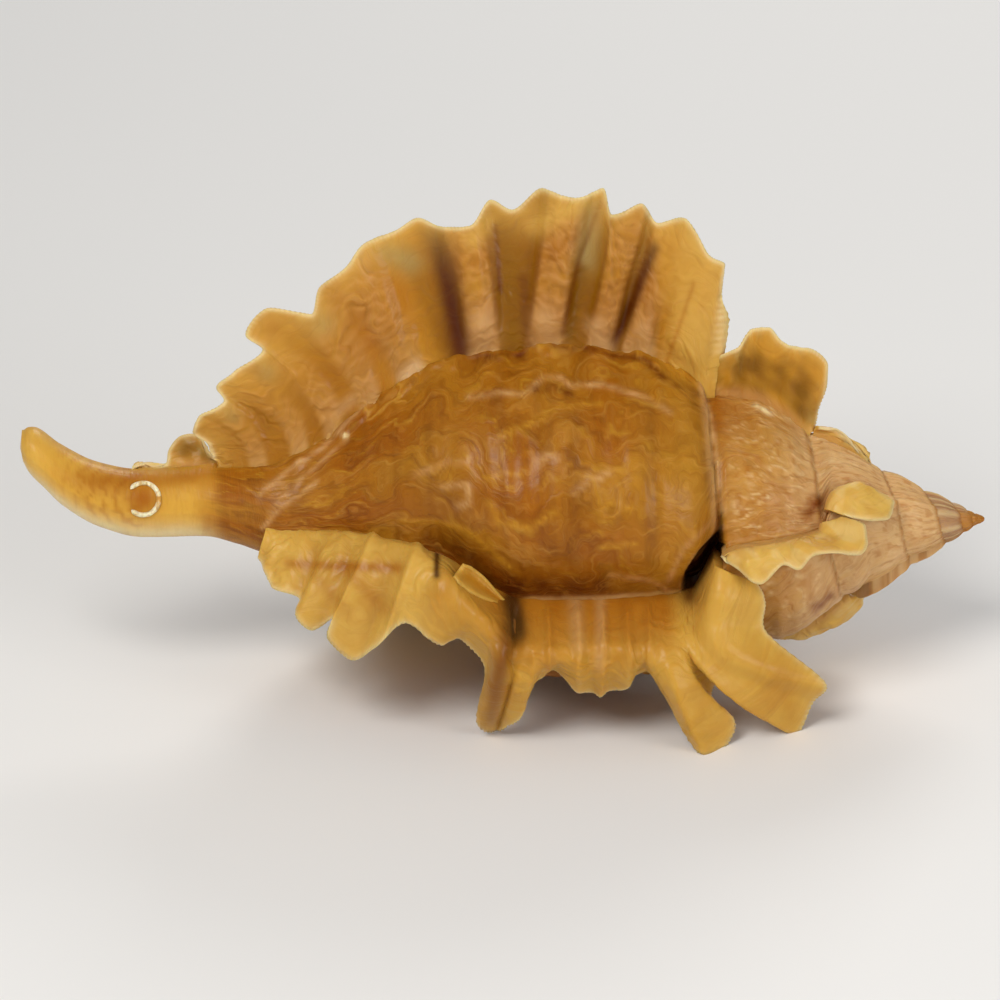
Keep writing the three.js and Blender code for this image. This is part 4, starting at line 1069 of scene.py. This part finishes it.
def build_ring():
    """Raised rim of the broken hollow spine on the canal, open towards the tip."""
    turn = np.radians(np.linspace(-138, 140, 56))
    tube = np.linspace(0, 2 * math.pi, 12, endpoint=False)
    x, q = RING_X + RING_RADIUS * np.cos(turn), RING_Q + RING_RADIUS * np.sin(turn)
    reach = curve(CANAL_RADIUS, x)
    p = curve(CENTRE_P, x) + np.sqrt(np.maximum(reach ** 2 - (q - curve(CENTRE_Q, x)) ** 2, 1))
    wide = 0.24 * np.sqrt(np.clip(np.minimum(turn - turn[0], turn[-1] - turn) / 0.2, 0.05, 1))
    spread = 1 + wide[:, None] / RING_RADIUS * np.cos(tube)
    ring = np.stack([RING_X + (x - RING_X)[:, None] * spread,
                     p[:, None] + 0.12 + 1.4 * wide[:, None] * np.sin(tube),
                     RING_Q + (q - RING_Q)[:, None] * spread], -1)
    count, sides = ring.shape[:2]
    faces = tube_faces(count, sides)
    faces += [tuple(range(sides)), tuple(range(count * sides - 1, (count - 1) * sides - 1, -1))]
    points = ring.reshape(-1, 3)
    tone = np.broadcast_to(np.array(STUB_CREAM), points.shape).copy()
    return make_mesh("spine_stub_rim", points, faces, tone, points,
                     np.full(len(points), 9.0))


def build_scale():
    """Small curled scale beside the hole at the second wing's root."""
    count, width = 60, 40
    s = np.linspace(0, 1, count)[:, None]
    c = np.linspace(-1, 1, width)[None, :]
    wide = mix(0.35, 1.0, smooth(0, 0.7, s)) * (1 - 0.25 * smooth(0.85, 1, s))
    x = mix(0.5, -4.0, s) + 0.62 * c * wide
    q = mix(-6.7, -3.0, s) + 0.78 * c * wide
    p = SCALE_P + 3.0 * s - 1.0 * c * wide + 0.9 * c * c * wide + 0.5 * bell((s - 1) / 0.15)
    mid = np.stack([x, p, q], -1)
    normal = unit(np.cross(np.gradient(mid, axis=0), np.gradient(mid, axis=1)))
    edge = np.minimum((1 - s) * 5, 1 - np.abs(c))
    half = 0.22 * np.sqrt(np.clip(edge / 0.15 + 0.05, 0, 1))
    sides = [mid + normal * (k * half)[..., None] for k in (1, -1)]
    points = np.concatenate([side.reshape(-1, 3) for side in sides])
    tone = np.broadcast_to(np.array(HONEY), mid.shape).copy()
    tone = paint(tone, AMBER, 0.7 * bell((c + 0.2) / 0.6) * (1 - 0.6 * s))
    tone = paint(tone, CREAM, 0.9 * np.exp(-edge / 0.35))
    tone = np.concatenate([tone.reshape(-1, 3)] * 2)
    return make_mesh("curled_scale", points, sheet_faces(count, width), tone, points,
                     np.full(len(points), 9.0))


pieces = [body, build_ring(), build_scale()]
pieces.append(build_wing("lip_wing", LIP_WING, LIP, LIP_FLUTES, 560, 84, 0.05, lip_tone, 0.09,
                         sharp=True))
pieces.append(build_wing("second_wing", SECOND_WING[1:], SECOND, SECOND_FLUTES, 560, 64,
                         AFTER_WING_DIP, second_tone, 0.10, folds=SECOND_ROOT_FOLDS))
pieces.append(build_wing("third_wing", THIRD_WING, THIRD, THIRD_FLUTES, 400, 56,
                         AFTER_WING_DIP, second_tone, 0.14))
pieces.append(build_wing("canal_frond", CANAL_FROND, FROND, [], 120, 24, 0.2, small_tone, 0.08,
                         thick=SMALL_WING_THICK))
for wing_name, wing_on, wing_rows in SPIRE_WINGS:
    pieces.append(build_wing(wing_name, wing_rows[::-1], wing_on, [], 150, 30, 0.25, small_tone,
                             0.12, thick=SMALL_WING_THICK, sharp=True))

material = shell_material()
for piece in pieces:
    piece.data.materials.clear()
    piece.data.materials.append(material)
    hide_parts("murex_shell")
    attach(piece, "root")


# ---- floor, light and camera ----
def flat_material(name, colour, rough):
    """A plain material of one colour."""
    mat = bpy.data.materials.new(name)
    mat.use_nodes = True
    shade = mat.node_tree.nodes["Principled BSDF"]
    shade.inputs["Base Color"].default_value = colour + (1.0,)
    shade.inputs["Roughness"].default_value = rough
    return mat


def area_light(name, place, target, size, power, colour):
    """A round soft light aimed at a point."""
    data = bpy.data.lights.new(name, "AREA")
    data.shape = "DISK"
    data.size = size
    data.energy = power
    data.color = colour
    light = bpy.data.objects.new(name, data)
    light.location = place
    aim = np.array(target) - np.array(place)
    light.rotation_euler = look_along(aim)
    bpy.context.scene.collection.objects.link(light)


def look_along(direction):
    """Euler angles that turn a lamp's -Z along a direction."""
    dx, dy, dz = (float(v) for v in direction)
    level = math.hypot(dx, dy)
    return (math.atan2(level, -dz), 0.0, math.atan2(-dx, dy))


FLOOR_SIZE = 3.0
FLOOR_COLOUR = (0.84, 0.83, 0.81)
CENTRE = (0.0, 0.0, 0.022)
bpy.ops.mesh.primitive_plane_add(size=FLOOR_SIZE, location=(0, 0, 0))
floor = bpy.context.object
floor.name = "floor"
floor.data.materials.append(flat_material("pale_floor", FLOOR_COLOUR, 0.6))

area_light("key", (-0.16, -0.26, 0.36), CENTRE, 0.22, 1.30, (1.0, 0.97, 0.93))
area_light("fill", (0.34, -0.30, 0.16), CENTRE, 0.24, 0.80, (0.97, 0.98, 1.0))
area_light("rim", (0.10, 0.36, 0.26), CENTRE, 0.20, 0.5, (1.0, 0.98, 0.95))
world = bpy.data.worlds.new("studio")
world.use_nodes = True
world.node_tree.nodes["Background"].inputs["Color"].default_value = (0.95, 0.97, 1.0, 1.0)
world.node_tree.nodes["Background"].inputs["Strength"].default_value = 0.30
bpy.context.scene.world = world

LENS = 250.0
SENSOR_WIDTH = 36.0
VIEW_WIDTH = 0.094
VIEW_UP = math.radians(25)
VIEW_ROLL = math.radians(2)
target = to_world(np.array([0.12, 6.0, 3.38]))
level_right = np.array([1.0, 0.0, 0.0])
level_up = np.array([0.0, math.sin(VIEW_UP), math.cos(VIEW_UP)])
back = np.array([0.0, -math.cos(VIEW_UP), math.sin(VIEW_UP)])
right = math.cos(VIEW_ROLL) * level_right - math.sin(VIEW_ROLL) * level_up
up = math.cos(VIEW_ROLL) * level_up + math.sin(VIEW_ROLL) * level_right
gap = VIEW_WIDTH * LENS / SENSOR_WIDTH
camera_data = bpy.data.cameras.new("camera")
camera_data.lens = LENS
camera = bpy.data.objects.new("camera", camera_data)
turned = Matrix([right, up, back]).transposed().to_4x4()
turned.translation = Vector((target + back * gap).tolist())
camera.matrix_world = turned
bpy.context.scene.collection.objects.link(camera)
bpy.context.scene.camera = camera
bpy.context.scene.view_settings.view_transform = "Standard"
